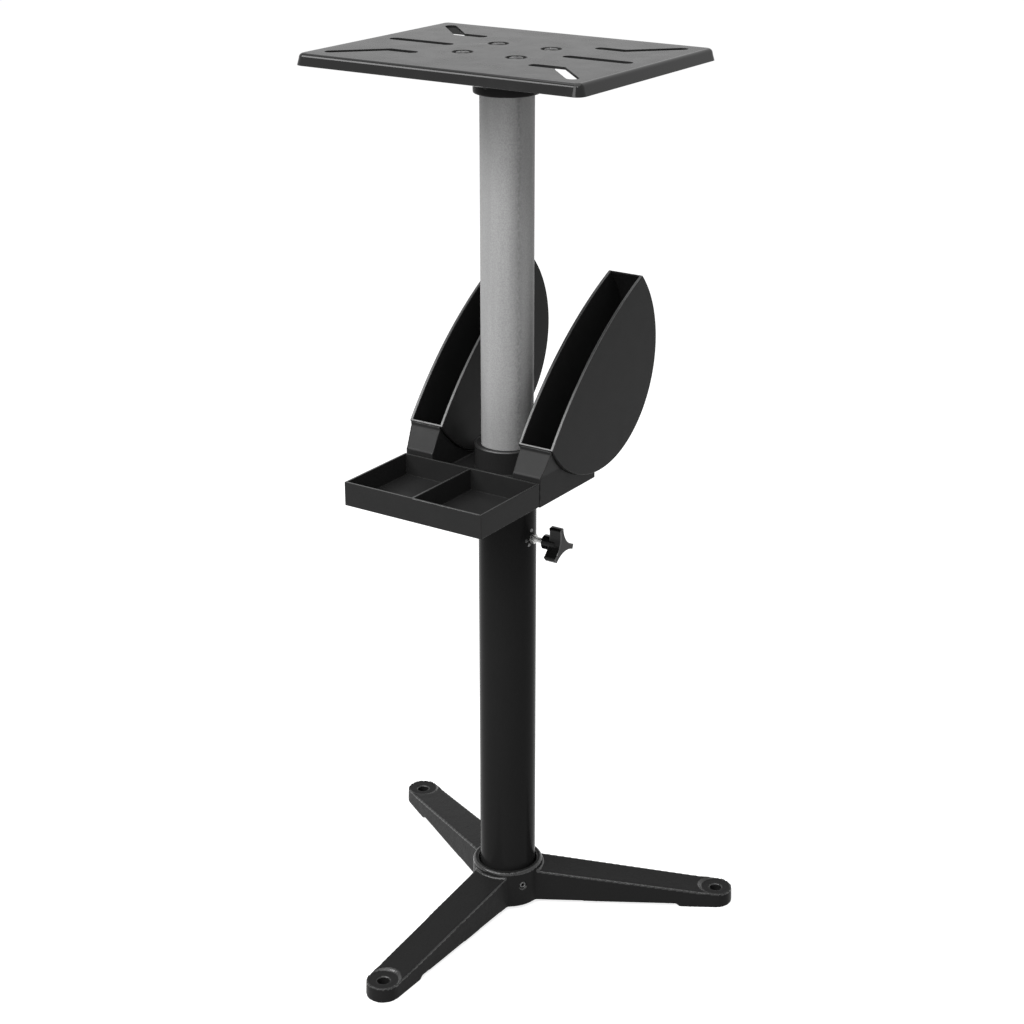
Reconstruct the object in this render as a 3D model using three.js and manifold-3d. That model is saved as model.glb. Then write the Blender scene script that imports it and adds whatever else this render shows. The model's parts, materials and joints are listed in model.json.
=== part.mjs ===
// Bench grinder stand: tripod base, telescopic column with a height lock, parts tray with two
// wheel pockets, and a slotted top plate. Millimetres, +Z up, front towards -Y, right towards +X.
// The origin is on the floor, under the middle of the stand's box.

import * as THREE from 'three';
import { mergeVertices } from 'three/addons/utils/BufferGeometryUtils.js';
import Module from 'manifold-3d';

const wasm = await Module();
wasm.setup();

// Fits
const contactGap = 0.3;
const slidingGap = 0.3;
const overcut = 2;

// Base casting
const footCircleRadius = 243;
const footHoleDiameter = 13;
const footEndRadius = 18;
const footPadHeight = 16.8;
const footPadLength = 42;
const footPadStep = 3.4;
const footScoopRadius = 17;
const footScoopWidth = 4;
const legAngles = [-90, 30, 150];
const legHalfWidthAtHub = 21;
const legTopAtHub = 42;
const legTopAtFoot = 19.4;
const legDraft = 0.03;
const legWall = 6.5;
const legHollowInset = 12;
const hubDiameter = 81;
const hubBottom = 4.5;
const hubTop = 50;
const hubRimRadius = 3;
const hubLedgeHeight = 5;
const hubLedgeWidth = 4;
const hubMouthWidth = 2;
const hubMouthDepth = 3;
const baseScrewAngles = [-30, 90, 210];
const baseScrewDrop = 18.5;

// Set screws
const setScrewDiameter = 8;
const setScrewRecess = 1.2;
const setScrewSocket = 4;
const setScrewSocketDepth = 4;

// Column tubes
const lowerTubeDiameter = 63.5;
const lowerTubeWall = 2;
const lowerTubeLength = 549.5;
const upperTubeDiameter = 56.5;
const upperTubeWall = 2;
const upperTubeLength = 650;
const bushLength = 40;
const bushLip = 2.5;
const bushLipWidth = 3;

// Height lock
const lockDrop = 101.5;
const studDiameter = 6;
const studEmbed = 14;
const clampNutWidth = 10;
const clampNutHeight = 5.2;
const knobStandOff = 11;
const knobBossDiameter = 16.5;
const knobBossLength = 10;
const knobArmCount = 3;
const knobArmAngle = 100;
const knobArmReach = 20.7;
const knobArmTipWidth = 6;
const knobArmLength = 15;
const knobValleyPull = 2.5;
const knobEdge = 0.7;

// Top plate
const plateTopHeight = 978.5;
const plateLength = 337;
const plateDepth = 263.5;
const plateSheet = 3;
const plateSkirt = 12;
const plateCornerRadius = 10;
const plateEdgeRadius = 5;
const slotWidth = 9.5;
const slotInnerEnd = 73;
const slotOuterEnd = 139;
const dogLegSide = 61.5;
const dogLegKnee = 101;
const dogLegCornerX = 142;
const dogLegCornerY = 104;
const plateScrewSpacing = 64;
const dimpleDiameter = 21;
const dimpleFloorDiameter = 15;
const dimpleDepth = 2.6;

// Top flange
const flangeWidth = 94;
const flangeThickness = 7;
const flangeCornerRadius = 14;
const bossBottomDrop = 42;
const bossDiameter = 70;
const bossScrewAngle = -97;
const bossScrewDrop = 28;

// Plate screws
const screwDiameter = 8;
const screwHeadDiameter = 14;
const screwHeadHeight = 2.8;
const screwHeadDome = 1.6;
const screwDomeKnee = 0.85;
const screwDomeRise = 0.6;
const screwFlat = 0.5;
const screwRecessLength = 7;
const screwRecessWidth = 1.6;
const screwRecessDepth = 1.8;
const screwEnd = 2.5;
const nutWidth = 13;
const nutHeight = 6.5;
const washerDiameter = 16;
const washerThickness = 1.6;
const washerGap = 0.2;

// Tray bracket
const bracketWidth = 171;
const bracketFront = 67.5;
const bracketBack = 41;
const bracketHeight = 36.3;
const bracketWall = 3.3;
const deckThickness = 3;
const deckDrop = 26.3;
const collarWall = 3.35;
const collarLip = 3.2;
const collarLipClearance = 0.75;
const collarRimRadius = 1.6;
const cradleFloor = 8.9;
const cradleInset = 2.7;
const cheekFlare = 4;
const rampFootHeight = 33;
const rampFootLead = 1;
const lipLead = 0.6;
const lipDrop = 0.6;
const lipHeight = 3.4;

// Wheel pockets
const pocketSpread = 181.8;
const pocketWidth = 42.4;
const pocketWall = 3.4;
const pocketBackWall = 2.2;
const pocketRadius = 115.8;
const pocketCentreBehind = 42.15;
const mouthLean = 39.55;
const mouthReach = 24;
const mouthRadius = 462.7;
const keyWidth = 18;
const keyLength = 10;
const keyDepth = 5.5;
const keyBehind = 10;

// Parts tray
const trayDepth = 106.5;
const trayHeight = 26;
const trayWall = 2.6;
const trayFloor = 2.6;
const trayCornerRadius = 2;
const trayStandOff = 1.5;
const trayLift = 1.6;
const tongueWidth = 24;
const tongueThickness = 2.6;
const tongueReach = 11;
const tongueSpread = 50;

// Facets
const tubeSteps = 64;
const roundSteps = 48;
const boreSteps = 16;
const cornerSteps = 4;

const rad = THREE.MathUtils.degToRad;
const lowerRadius = lowerTubeDiameter / 2;
const upperRadius = upperTubeDiameter / 2;
const hubRadius = hubDiameter / 2;
const setScrewRadius = setScrewDiameter / 2;
const studRadius = studDiameter / 2;

// Heights and places that follow from the sizes
const tubeSeat = hubBottom + hubLedgeHeight;
const lowerTubeFoot = tubeSeat + contactGap;
const lowerTubeTop = lowerTubeFoot + lowerTubeLength;
const lockHeight = lowerTubeTop - lockDrop;
const collarTop = lowerTubeTop + contactGap + collarLip;
const bracketBottom = collarTop - bracketHeight;
const deckTop = collarTop - deckDrop;
const plateUnder = plateTopHeight - plateSheet;
const flangeTop = plateUnder - contactGap;
const flangeUnder = flangeTop - flangeThickness;
const bossBottom = plateTopHeight - bossBottomDrop;
const bossScrewHeight = plateTopHeight - bossScrewDrop;
const upperTubeTop = flangeTop - contactGap;
const upperTubeFoot = upperTubeTop - upperTubeLength;
const pocketCentreHeight = bracketBottom + cradleFloor + contactGap + pocketRadius;
const pocketOuter = pocketSpread / 2;
const pocketInner = pocketOuter - pocketWidth;
const cradleInner = pocketInner + cradleInset;
const cradleOuter = bracketWidth / 2;
const rampFoot = bracketBottom + rampFootHeight;
const trayBottom = bracketBottom + trayLift;
const trayBack = -(bracketFront + trayStandOff);

// Solids

// Turns a closed geometry into a solid: shared corners are merged and flat slivers dropped.
function solid(geometry) {
  const bare = geometry.clone();
  bare.deleteAttribute('normal');
  bare.deleteAttribute('uv');
  const merged = mergeVertices(bare, 1e-4);
  const corners = Array.from(merged.index.array);
  const triangles = [];
  for (let first = 0; first < corners.length; first += 3) {
    const [a, b, c] = corners.slice(first, first + 3);
    if (a !== b && b !== c && c !== a) {
      triangles.push(a, b, c);
    }
  }
  const vertProperties = new Float32Array(merged.attributes.position.array);
  const triVerts = new Uint32Array(triangles);
  return new wasm.Manifold(new wasm.Mesh({ numProp: 3, vertProperties, triVerts }));
}

// The surface of a solid, as a geometry that can be moved and made solid again.
function surface(body) {
  const { vertProperties, triVerts } = body.getMesh();
  const geometry = new THREE.BufferGeometry();
  geometry.setAttribute('position', new THREE.BufferAttribute(vertProperties, 3));
  geometry.setIndex(new THREE.BufferAttribute(triVerts, 1));
  return geometry;
}

function join(...solids) {
  return solids.reduce((sum, next) => sum.add(next));
}

function cut(body, ...tools) {
  return tools.reduce((rest, tool) => rest.subtract(tool), body);
}

// A profile of [radius, height] points, counter-clockwise, turned about the Z axis.
function revolve(profile, steps = roundSteps) {
  const points = profile.map(([radius, height]) => new THREE.Vector2(radius, height));
  return new THREE.LatheGeometry(points, steps).rotateX(Math.PI / 2);
}

function closed(profile) {
  return [...profile, profile[0]];
}

function disc(radius, bottom, top, steps = roundSteps) {
  return revolve([[0, bottom], [radius, bottom], [radius, top], [0, top]], steps);
}

function pipe(outer, inner, bottom, top, steps = roundSteps) {
  return revolve(closed([[inner, bottom], [outer, bottom], [outer, top], [inner, top]]), steps);
}

function block(width, depth, height, x, y, z) {
  return new THREE.BoxGeometry(width, depth, height).translate(x, y, z);
}

// An outline in X and Y, raised from one height to another.
function raise(shape, bottom, top, curveSegments = cornerSteps) {
  const options = { depth: top - bottom, bevelEnabled: false, curveSegments };
  return new THREE.ExtrudeGeometry(shape, options).translate(0, 0, bottom);
}

const sideways = new THREE.Matrix4().makeBasis(
  new THREE.Vector3(0, 1, 0),
  new THREE.Vector3(0, 0, 1),
  new THREE.Vector3(1, 0, 0),
);

// An outline in Y and Z, stretched along X from one side to the other.
function stretch(shape, from, to, curveSegments = cornerSteps) {
  return raise(shape, from, to, curveSegments).applyMatrix4(sideways);
}

function polygon(points) {
  return new THREE.Shape(points.map(([x, y]) => new THREE.Vector2(x, y)));
}

// A skin over convex rings of points, each counter-clockwise seen from the last one.
function loft(rings) {
  const count = rings[0].length;
  const last = count * (rings.length - 1);
  const faces = [];
  for (let level = 0; level < last; level += count) {
    for (let side = 0; side < count; side += 1) {
      const a = level + side;
      const b = level + (side + 1) % count;
      faces.push(a, b, b + count, a, b + count, a + count);
    }
  }
  for (let side = 1; side < count - 1; side += 1) {
    faces.push(0, side + 1, side, last, last + side, last + side + 1);
  }
  const geometry = new THREE.BufferGeometry().setFromPoints(rings.flat());
  geometry.setIndex(faces);
  return geometry;
}

function roundedRectangle(halfX, halfY, radius, z) {
  const ring = [];
  const quarters = [[1, 1], [-1, 1], [-1, -1], [1, -1]];
  quarters.forEach(([sideX, sideY], quarter) => {
    for (let step = 0; step <= cornerSteps; step += 1) {
      const angle = (quarter + step / cornerSteps) * Math.PI / 2;
      const x = sideX * (halfX - radius) + radius * Math.cos(angle);
      const y = sideY * (halfY - radius) + radius * Math.sin(angle);
      ring.push(new THREE.Vector3(x, y, z));
    }
  });
  return ring;
}

function hexagon(width) {
  const corner = width / Math.sqrt(3);
  return polygon([0, 60, 120, 180, 240, 300].map((angle) => {
    return [corner * Math.cos(rad(angle)), corner * Math.sin(rad(angle))];
  }));
}

// A geometry made about the Z axis, laid along X.
function alongX(geometry) {
  return geometry.applyMatrix4(sideways);
}

// A geometry that points along X, turned to an angle about the column and lifted to a height.
function radial(geometry, angle, height) {
  return geometry.rotateZ(rad(angle)).translate(0, 0, height);
}

// Finishes
const blackCasting = { color: 0x1b1b1c, roughness: 0.45, metalness: 0.2 };
const blackPaint = { color: 0x161617, roughness: 0.35, metalness: 0.1 };
const silverTube = { color: 0x9a9a98, roughness: 0.42, metalness: 0.85 };
const darkPlastic = { color: 0x232325, roughness: 0.55, metalness: 0 };
const knobPlastic = { color: 0x121213, roughness: 0.3, metalness: 0 };
const bushPlastic = { color: 0x2c2c2e, roughness: 0.6, metalness: 0 };
const zincSteel = { color: 0xa8a8a6, roughness: 0.35, metalness: 0.9 };
const blackSteel = { color: 0x1d1d1f, roughness: 0.4, metalness: 0.6 };

const column = new THREE.Group();

function piece(name, body, finish) {
  const geometry = surface(body).toNonIndexed();
  geometry.computeVertexNormals();
  const mesh = new THREE.Mesh(geometry, new THREE.MeshStandardMaterial(finish));
  mesh.name = name;
  column.add(mesh);
}

// Base casting
function legHalfWidth(reach) {
  const share = (reach - hubRadius) / (footCircleRadius - hubRadius);
  return THREE.MathUtils.lerp(legHalfWidthAtHub, footEndRadius, share);
}

function legTop(reach) {
  const share = (reach - hubRadius) / (footCircleRadius - footScoopRadius - hubRadius);
  return THREE.MathUtils.lerp(legTopAtHub, legTopAtFoot, share);
}

// The leg seen from above at one height, a little wider towards the floor.
function legRing(height) {
  const spread = legDraft * (legTopAtHub - height);
  const radius = footEndRadius + spread;
  const ring = [new THREE.Vector3(0, -legHalfWidth(0) - spread, height)];
  const steps = 3 * cornerSteps;
  for (let step = 0; step <= steps; step += 1) {
    const angle = Math.PI * (step / steps - 0.5);
    const x = footCircleRadius + radius * Math.cos(angle);
    ring.push(new THREE.Vector3(x, radius * Math.sin(angle), height));
  }
  ring.push(new THREE.Vector3(0, legHalfWidth(0) + spread, height));
  return ring;
}

// The leg seen from the side: sloping top, low underside and a pad that reaches the floor.
function legSide() {
  const padStart = footCircleRadius - footPadLength;
  const tip = footCircleRadius + footEndRadius + overcut;
  const outline = polygon([
    [0, hubBottom],
    [padStart - footPadStep, footPadStep],
    [padStart, 0],
    [tip, 0],
    [tip, legTop(footCircleRadius - footScoopRadius)],
    [footCircleRadius - footScoopRadius, legTop(footCircleRadius - footScoopRadius)],
    [0, legTop(0)],
  ]);
  const side = 2 * legHalfWidthAtHub;
  return raise(outline, -side, side).rotateX(Math.PI / 2);
}

function legSection(reach) {
  const half = legHalfWidth(reach) - legWall;
  const top = legTop(reach) - legWall;
  const corners = [[-half, -overcut], [half, -overcut], [half, top], [-half, top]];
  return corners.map(([y, z]) => new THREE.Vector3(reach, y, z));
}

function leg() {
  const plan = solid(loft([legRing(0), legRing(legTopAtHub + overcut)]));
  const inner = hubRadius + legHollowInset;
  const outer = footCircleRadius - footPadLength - legHollowInset;
  const hollow = solid(loft([legSection(inner), legSection(outer)]));
  const scoopTop = legTopAtHub;
  const scoopRun = footScoopRadius + footScoopWidth;
  const scoop = revolve([
    [0, footPadHeight],
    [footScoopRadius, footPadHeight],
    [scoopRun, footPadHeight + footScoopWidth],
    [scoopRun, scoopTop],
    [0, scoopTop],
  ], roundSteps / 2).translate(footCircleRadius, 0, 0);
  const hole = disc(footHoleDiameter / 2, -overcut, scoopTop, boreSteps).translate(footCircleRadius, 0, 0);
  return cut(plan.intersect(solid(legSide())), hollow, solid(scoop), solid(hole));
}

function turned(body, angle) {
  return solid(surface(body).rotateZ(rad(angle)));
}

function setScrewHole(from, to, angle, height) {
  return solid(radial(alongX(disc(setScrewRadius + contactGap, from, to, boreSteps)), angle, height));
}

function tripodBase() {
  const rim = [];
  for (let step = 0; step <= cornerSteps; step += 1) {
    const angle = (step / cornerSteps) * Math.PI / 2;
    const radius = hubRadius - hubRimRadius * (1 - Math.cos(angle));
    rim.push([radius, hubTop - hubRimRadius * (1 - Math.sin(angle))]);
  }
  const hub = solid(revolve([[0, hubBottom], [hubRadius, hubBottom], ...rim, [0, hubTop]]));
  const bore = lowerRadius + contactGap;
  const boreCut = solid(revolve([
    [0, -overcut],
    [lowerRadius - hubLedgeWidth, -overcut],
    [lowerRadius - hubLedgeWidth, tubeSeat],
    [bore, tubeSeat],
    [bore, hubTop - hubMouthDepth],
    [bore + hubMouthWidth, hubTop],
    [bore + hubMouthWidth, hubTop + overcut],
    [0, hubTop + overcut],
  ]));
  const legs = legAngles.map((angle) => turned(leg(), angle));
  const clear = solid(disc(hubRadius + legHalfWidthAtHub, hubTop, 2 * hubTop));
  const holes = baseScrewAngles.map((angle) => {
    return setScrewHole(lowerRadius - hubLedgeWidth, hubRadius + overcut, angle, hubTop - baseScrewDrop);
  });
  return cut(join(hub, ...legs), clear, boreCut, ...holes);
}

// A socket set screw that points at the column and ends just short of the face it presses on.
function setScrew(tip, head, angle, height) {
  const shank = solid(radial(alongX(disc(setScrewRadius, tip, head, boreSteps)), angle, height));
  const socket = alongX(raise(hexagon(setScrewSocket), head - setScrewSocketDepth, head + overcut));
  return cut(shank, solid(radial(socket, angle, height)));
}

piece('tripod_base', tripodBase(), blackCasting);
baseScrewAngles.forEach((angle, index) => {
  const tip = lowerRadius + contactGap;
  const screw = setScrew(tip, hubRadius - setScrewRecess, angle, hubTop - baseScrewDrop);
  piece(`base_set_screw_${index + 1}`, screw, blackSteel);
});

// Column tubes
function lowerTube() {
  const wall = solid(pipe(lowerRadius, lowerRadius - lowerTubeWall, lowerTubeFoot, lowerTubeTop, tubeSteps));
  const hole = alongX(disc(studRadius + slidingGap, 0, lowerRadius + overcut, boreSteps));
  return cut(wall, solid(hole.translate(0, 0, lockHeight)));
}

// A sleeve on the lower end of the upper tube, with a lip that the tube stands on.
function guideBush() {
  const outer = lowerRadius - lowerTubeWall - slidingGap;
  const inner = upperRadius + contactGap;
  const lipTop = upperTubeFoot - contactGap;
  const lipBottom = lipTop - bushLip;
  return solid(revolve(closed([
    [upperRadius - bushLipWidth, lipBottom],
    [outer, lipBottom],
    [outer, lipBottom + bushLength],
    [inner, lipBottom + bushLength],
    [inner, lipTop],
    [upperRadius - bushLipWidth, lipTop],
  ])));
}

piece('lower_tube', lowerTube(), blackPaint);
piece('guide_bush', guideBush(), bushPlastic);
const upperBore = upperRadius - upperTubeWall;
const upperWall = pipe(upperRadius, upperBore, upperTubeFoot, upperTubeTop, tubeSteps);
piece('upper_tube', solid(upperWall), silverTube);

// Height lock
const clampNutFace = lowerRadius + clampNutHeight;
const knobBack = clampNutFace + knobStandOff;
const knobArmBack = knobBack + knobBossLength;
const knobFace = knobArmBack + knobArmLength;
const studEnd = knobBack + studEmbed;

function clampNut() {
  const hex = solid(alongX(raise(hexagon(clampNutWidth), 0, clampNutFace)).translate(0, 0, lockHeight));
  const tube = solid(disc(lowerRadius + contactGap, lockHeight - clampNutWidth, lockHeight + clampNutWidth));
  const thread = alongX(disc(studRadius + slidingGap, 0, clampNutFace + overcut, boreSteps));
  return cut(hex, tube, solid(thread.translate(0, 0, lockHeight)));
}

function lockStud() {
  const tip = upperRadius + contactGap;
  const point = studRadius / 3;
  const shank = revolve([
    [0, tip],
    [studRadius - point, tip],
    [studRadius, tip + point],
    [studRadius, studEnd],
    [0, studEnd],
  ], boreSteps);
  return solid(alongX(shank).translate(0, 0, lockHeight));
}

// Arms with narrow tips, joined by hollow curves that run close to the middle.
function knobStar() {
  const star = new THREE.Shape();
  const pitch = 360 / knobArmCount;
  const tipTurn = THREE.MathUtils.radToDeg(Math.asin(knobArmTipWidth / 2 / knobArmReach));
  const at = (radius, angle) => [radius * Math.cos(rad(angle)), radius * Math.sin(rad(angle))];
  star.moveTo(...at(knobArmReach, knobArmAngle - tipTurn));
  for (let arm = 0; arm < knobArmCount; arm += 1) {
    const middle = knobArmAngle + arm * pitch;
    const next = middle + pitch - tipTurn;
    star.lineTo(...at(knobArmReach, middle + tipTurn));
    star.quadraticCurveTo(...at(knobValleyPull, middle + pitch / 2), ...at(knobArmReach, next));
  }
  return star;
}

function lockKnob() {
  const options = {
    depth: knobArmLength - 2 * knobEdge,
    bevelThickness: knobEdge,
    bevelSize: knobEdge,
    bevelOffset: -knobEdge,
    bevelSegments: 2,
    curveSegments: 2 * cornerSteps,
  };
  const star = new THREE.ExtrudeGeometry(knobStar(), options).translate(0, 0, knobArmBack + knobEdge);
  const bossRadius = knobBossDiameter / 2;
  const boss = revolve([
    [0, knobBack],
    [bossRadius - knobEdge, knobBack],
    [bossRadius, knobBack + knobEdge],
    [bossRadius, knobArmBack + knobArmLength / 2],
    [0, knobArmBack + knobArmLength / 2],
  ], roundSteps / 2);
  const hole = disc(studRadius + contactGap, knobBack - overcut, studEnd + contactGap, boreSteps);
  const body = cut(join(solid(star), solid(boss)), solid(hole));
  return solid(alongX(surface(body)).translate(0, 0, lockHeight));
}

piece('clamp_nut', clampNut(), zincSteel);
piece('lock_stud', lockStud(), zincSteel);
piece('lock_knob', lockKnob(), knobPlastic);

// Top flange
const plateScrewPlaces = [[-1, -1], [1, -1], [1, 1], [-1, 1]].map(([sideX, sideY]) => {
  return [sideX * plateScrewSpacing / 2, sideY * plateScrewSpacing / 2];
});
const screwHole = screwDiameter / 2 + contactGap;

function topFlange() {
  const half = flangeWidth / 2;
  const plate = loft([
    roundedRectangle(half, half, flangeCornerRadius, flangeUnder),
    roundedRectangle(half, half, flangeCornerRadius, flangeTop),
  ]);
  const boss = disc(bossDiameter / 2, bossBottom, flangeUnder + flangeThickness / 2);
  const bore = disc(upperRadius + contactGap, bossBottom - overcut, flangeTop + overcut);
  const screw = setScrewHole(upperRadius - overcut, bossDiameter / 2 + overcut, bossScrewAngle, bossScrewHeight);
  const recessDepth = dimpleDepth + contactGap;
  const holes = plateScrewPlaces.map(([x, y]) => solid(revolve([
    [0, flangeUnder - overcut],
    [screwHole, flangeUnder - overcut],
    [screwHole, flangeTop - recessDepth],
    [dimpleFloorDiameter / 2 + contactGap + plateSheet / 2, flangeTop - recessDepth],
    [dimpleDiameter / 2 + contactGap + plateSheet / 2, flangeTop + contactGap],
    [0, flangeTop + contactGap],
  ], boreSteps).translate(x, y, 0)));
  return cut(join(solid(plate), solid(boss)), solid(bore), screw, ...holes);
}

piece('top_flange', topFlange(), blackCasting);
const bossScrewTip = upperRadius + contactGap;
const bossScrewHead = bossDiameter / 2 - setScrewRecess;
const bossScrew = setScrew(bossScrewTip, bossScrewHead, bossScrewAngle, bossScrewHeight);
piece('flange_set_screw', bossScrew, blackSteel);

// Top plate
function pan(inset, bottom) {
  const halfX = plateLength / 2 - inset;
  const halfY = plateDepth / 2 - inset;
  const corner = plateCornerRadius - inset;
  const edge = plateEdgeRadius - inset;
  const top = plateTopHeight - inset;
  const rings = [roundedRectangle(halfX, halfY, corner, bottom)];
  for (let step = 0; step <= cornerSteps; step += 1) {
    const angle = (step / cornerSteps) * Math.PI / 2;
    const draw = edge * (1 - Math.cos(angle));
    const height = top - edge * (1 - Math.sin(angle));
    rings.push(roundedRectangle(halfX - draw, halfY - draw, corner - draw, height));
  }
  return solid(loft(rings));
}

function slot(from, to) {
  const [startX, startY] = from;
  const [endX, endY] = to;
  const heading = Math.atan2(endY - startY, endX - startX);
  const outline = new THREE.Shape();
  outline.absarc(endX, endY, slotWidth / 2, heading - Math.PI / 2, heading + Math.PI / 2, false);
  outline.absarc(startX, startY, slotWidth / 2, heading + Math.PI / 2, heading + 3 * Math.PI / 2, false);
  return solid(raise(outline, plateUnder - overcut, plateTopHeight + overcut, boreSteps / 2));
}

function plateSlots() {
  const slots = [];
  [-1, 1].forEach((sideX) => {
    slots.push(slot([sideX * slotInnerEnd, 0], [sideX * slotOuterEnd, 0]));
    [-1, 1].forEach((sideY) => {
      const inner = [sideX * slotInnerEnd, sideY * dogLegSide];
      const knee = [sideX * dogLegKnee, sideY * dogLegSide];
      const corner = [sideX * dogLegCornerX, sideY * dogLegCornerY];
      slots.push(slot(inner, knee), slot(knee, corner));
    });
  });
  return slots;
}

function topPlate() {
  const shell = cut(pan(0, plateTopHeight - plateSkirt), pan(plateSheet, plateTopHeight - plateSkirt - overcut));
  const wide = dimpleDiameter / 2;
  const floor = dimpleFloorDiameter / 2;
  const drops = plateScrewPlaces.map(([x, y]) => solid(revolve([
    [0, plateUnder - dimpleDepth],
    [floor + plateSheet / 2, plateUnder - dimpleDepth],
    [wide + plateSheet / 2, plateUnder],
    [wide, plateTopHeight - contactGap],
    [0, plateTopHeight - contactGap],
  ], boreSteps).translate(x, y, 0)));
  const dimples = plateScrewPlaces.map(([x, y]) => solid(revolve([
    [0, plateUnder - dimpleDepth - overcut],
    [screwHole, plateUnder - dimpleDepth - overcut],
    [screwHole, plateTopHeight - dimpleDepth],
    [floor, plateTopHeight - dimpleDepth],
    [wide, plateTopHeight],
    [wide, plateTopHeight + overcut],
    [0, plateTopHeight + overcut],
  ], boreSteps).translate(x, y, 0)));
  return cut(join(shell, ...drops), ...dimples, ...plateSlots());
}

piece('top_plate', topPlate(), blackPaint);

// Plate screws, washers and nuts
const screwSeat = plateTopHeight - dimpleDepth + contactGap;
const washerTop = flangeUnder - washerGap;
const nutTop = washerTop - washerThickness - washerGap;
const nutBottom = nutTop - nutHeight;

function plateScrew() {
  const headRadius = screwHeadDiameter / 2;
  const headTop = screwSeat + screwHeadHeight;
  const body = solid(revolve([
    [0, nutBottom - screwEnd],
    [screwDiameter / 2, nutBottom - screwEnd],
    [screwDiameter / 2, screwSeat],
    [headRadius, screwSeat],
    [headRadius, headTop - screwHeadDome],
    [headRadius * screwDomeKnee, headTop - screwHeadDome * (1 - screwDomeRise)],
    [headRadius * screwFlat, headTop],
    [0, headTop],
  ], boreSteps));
  const recess = [0, Math.PI / 2].map((turn) => {
    const groove = block(screwRecessLength, screwRecessWidth, 2 * screwRecessDepth, 0, 0, headTop);
    return solid(groove.rotateZ(turn));
  });
  return cut(body, ...recess);
}

function plateNut() {
  const body = solid(raise(hexagon(nutWidth), nutBottom, nutTop));
  return cut(body, solid(disc(screwHole, nutBottom - overcut, nutTop + overcut, boreSteps)));
}

function placed(body, x, y) {
  return solid(surface(body).translate(x, y, 0));
}

plateScrewPlaces.forEach(([x, y], index) => {
  const washer = pipe(washerDiameter / 2, screwHole, washerTop - washerThickness, washerTop, boreSteps);
  piece(`plate_screw_${index + 1}`, placed(plateScrew(), x, y), blackSteel);
  piece(`plate_washer_${index + 1}`, solid(washer.translate(x, y, 0)), zincSteel);
  piece(`plate_nut_${index + 1}`, placed(plateNut(), x, y), zincSteel);
});

// Wheel pockets

// Where the mouth's rim meets the round back, as turns either side of the mouth's direction.
const mouthAngle = rad(90 + mouthLean);
const mouthOffset = mouthRadius - mouthReach;
const mouthChord = (mouthRadius ** 2 - pocketRadius ** 2 - mouthOffset ** 2) / (2 * mouthOffset);
const mouthHalfTurn = Math.acos(mouthChord / pocketRadius);

function pocketOutline() {
  const outline = new THREE.Shape();
  const rimTurn = Math.asin(pocketRadius * Math.sin(mouthHalfTurn) / mouthRadius);
  const rimY = pocketCentreBehind - mouthOffset * Math.cos(mouthAngle);
  const rimZ = pocketCentreHeight - mouthOffset * Math.sin(mouthAngle);
  const front = mouthAngle + mouthHalfTurn;
  const back = mouthAngle - mouthHalfTurn + 2 * Math.PI;
  outline.absarc(pocketCentreBehind, pocketCentreHeight, pocketRadius, front, back, false);
  outline.absarc(rimY, rimZ, mouthRadius, mouthAngle - rimTurn, mouthAngle + rimTurn, false);
  return outline;
}

function seatDisc(radius, from, to) {
  return alongX(disc(radius, from, to)).translate(0, pocketCentreBehind, pocketCentreHeight);
}

function pocketKey(spare) {
  const middle = (pocketOuter + pocketInner) / 2;
  const width = keyWidth + 2 * spare;
  const length = keyLength + 2 * spare;
  const drop = Math.sqrt(pocketRadius ** 2 - (pocketCentreBehind - keyBehind) ** 2);
  const bottom = pocketCentreHeight - drop - keyDepth - spare;
  const top = pocketCentreHeight - drop + pocketBackWall / 2;
  return block(width, length, top - bottom, middle, keyBehind, (top + bottom) / 2);
}

// Made for the right side; the left one is its mirror image.
function wheelPocket() {
  const shell = solid(stretch(pocketOutline(), pocketInner, pocketOuter, roundSteps * 2 / 3));
  const room = pocketRadius - pocketBackWall;
  const hollow = seatDisc(room, pocketInner + pocketWall, pocketOuter - pocketWall);
  return join(cut(shell, solid(hollow)), solid(pocketKey(0)));
}

function mirrored(body) {
  const geometry = surface(body).scale(-1, 1, 1);
  geometry.index.array.reverse();
  return solid(geometry);
}

piece('wheel_pocket_right', wheelPocket(), darkPlastic);
piece('wheel_pocket_left', mirrored(wheelPocket()), darkPlastic);

// Tray bracket

// The ramp ends in an upright lip, just below the front end of the pocket's mouth.
const seatRadius = pocketRadius + contactGap;
const lipTurn = mouthAngle + mouthHalfTurn + lipDrop / seatRadius;
const lipTop = pocketCentreHeight + seatRadius * Math.sin(lipTurn);

// The cradle seen from the side: flat bottom, upright front, ramp up to the lip, round seat.
function cradleOutline() {
  const tail = Math.asin((bracketBack - pocketCentreBehind) / seatRadius);
  const lipFront = pocketCentreBehind + seatRadius * Math.cos(lipTurn) - lipLead;
  const outline = new THREE.Shape();
  outline.moveTo(-bracketFront, bracketBottom);
  outline.lineTo(bracketBack, bracketBottom);
  outline.absarc(pocketCentreBehind, pocketCentreHeight, seatRadius, 1.5 * Math.PI + tail, lipTurn, true);
  outline.lineTo(lipFront, lipTop);
  outline.lineTo(lipFront, lipTop - lipHeight);
  outline.lineTo(-bracketFront + rampFootLead, rampFoot);
  outline.lineTo(-bracketFront, rampFoot - rampFootLead);
  return outline;
}

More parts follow.
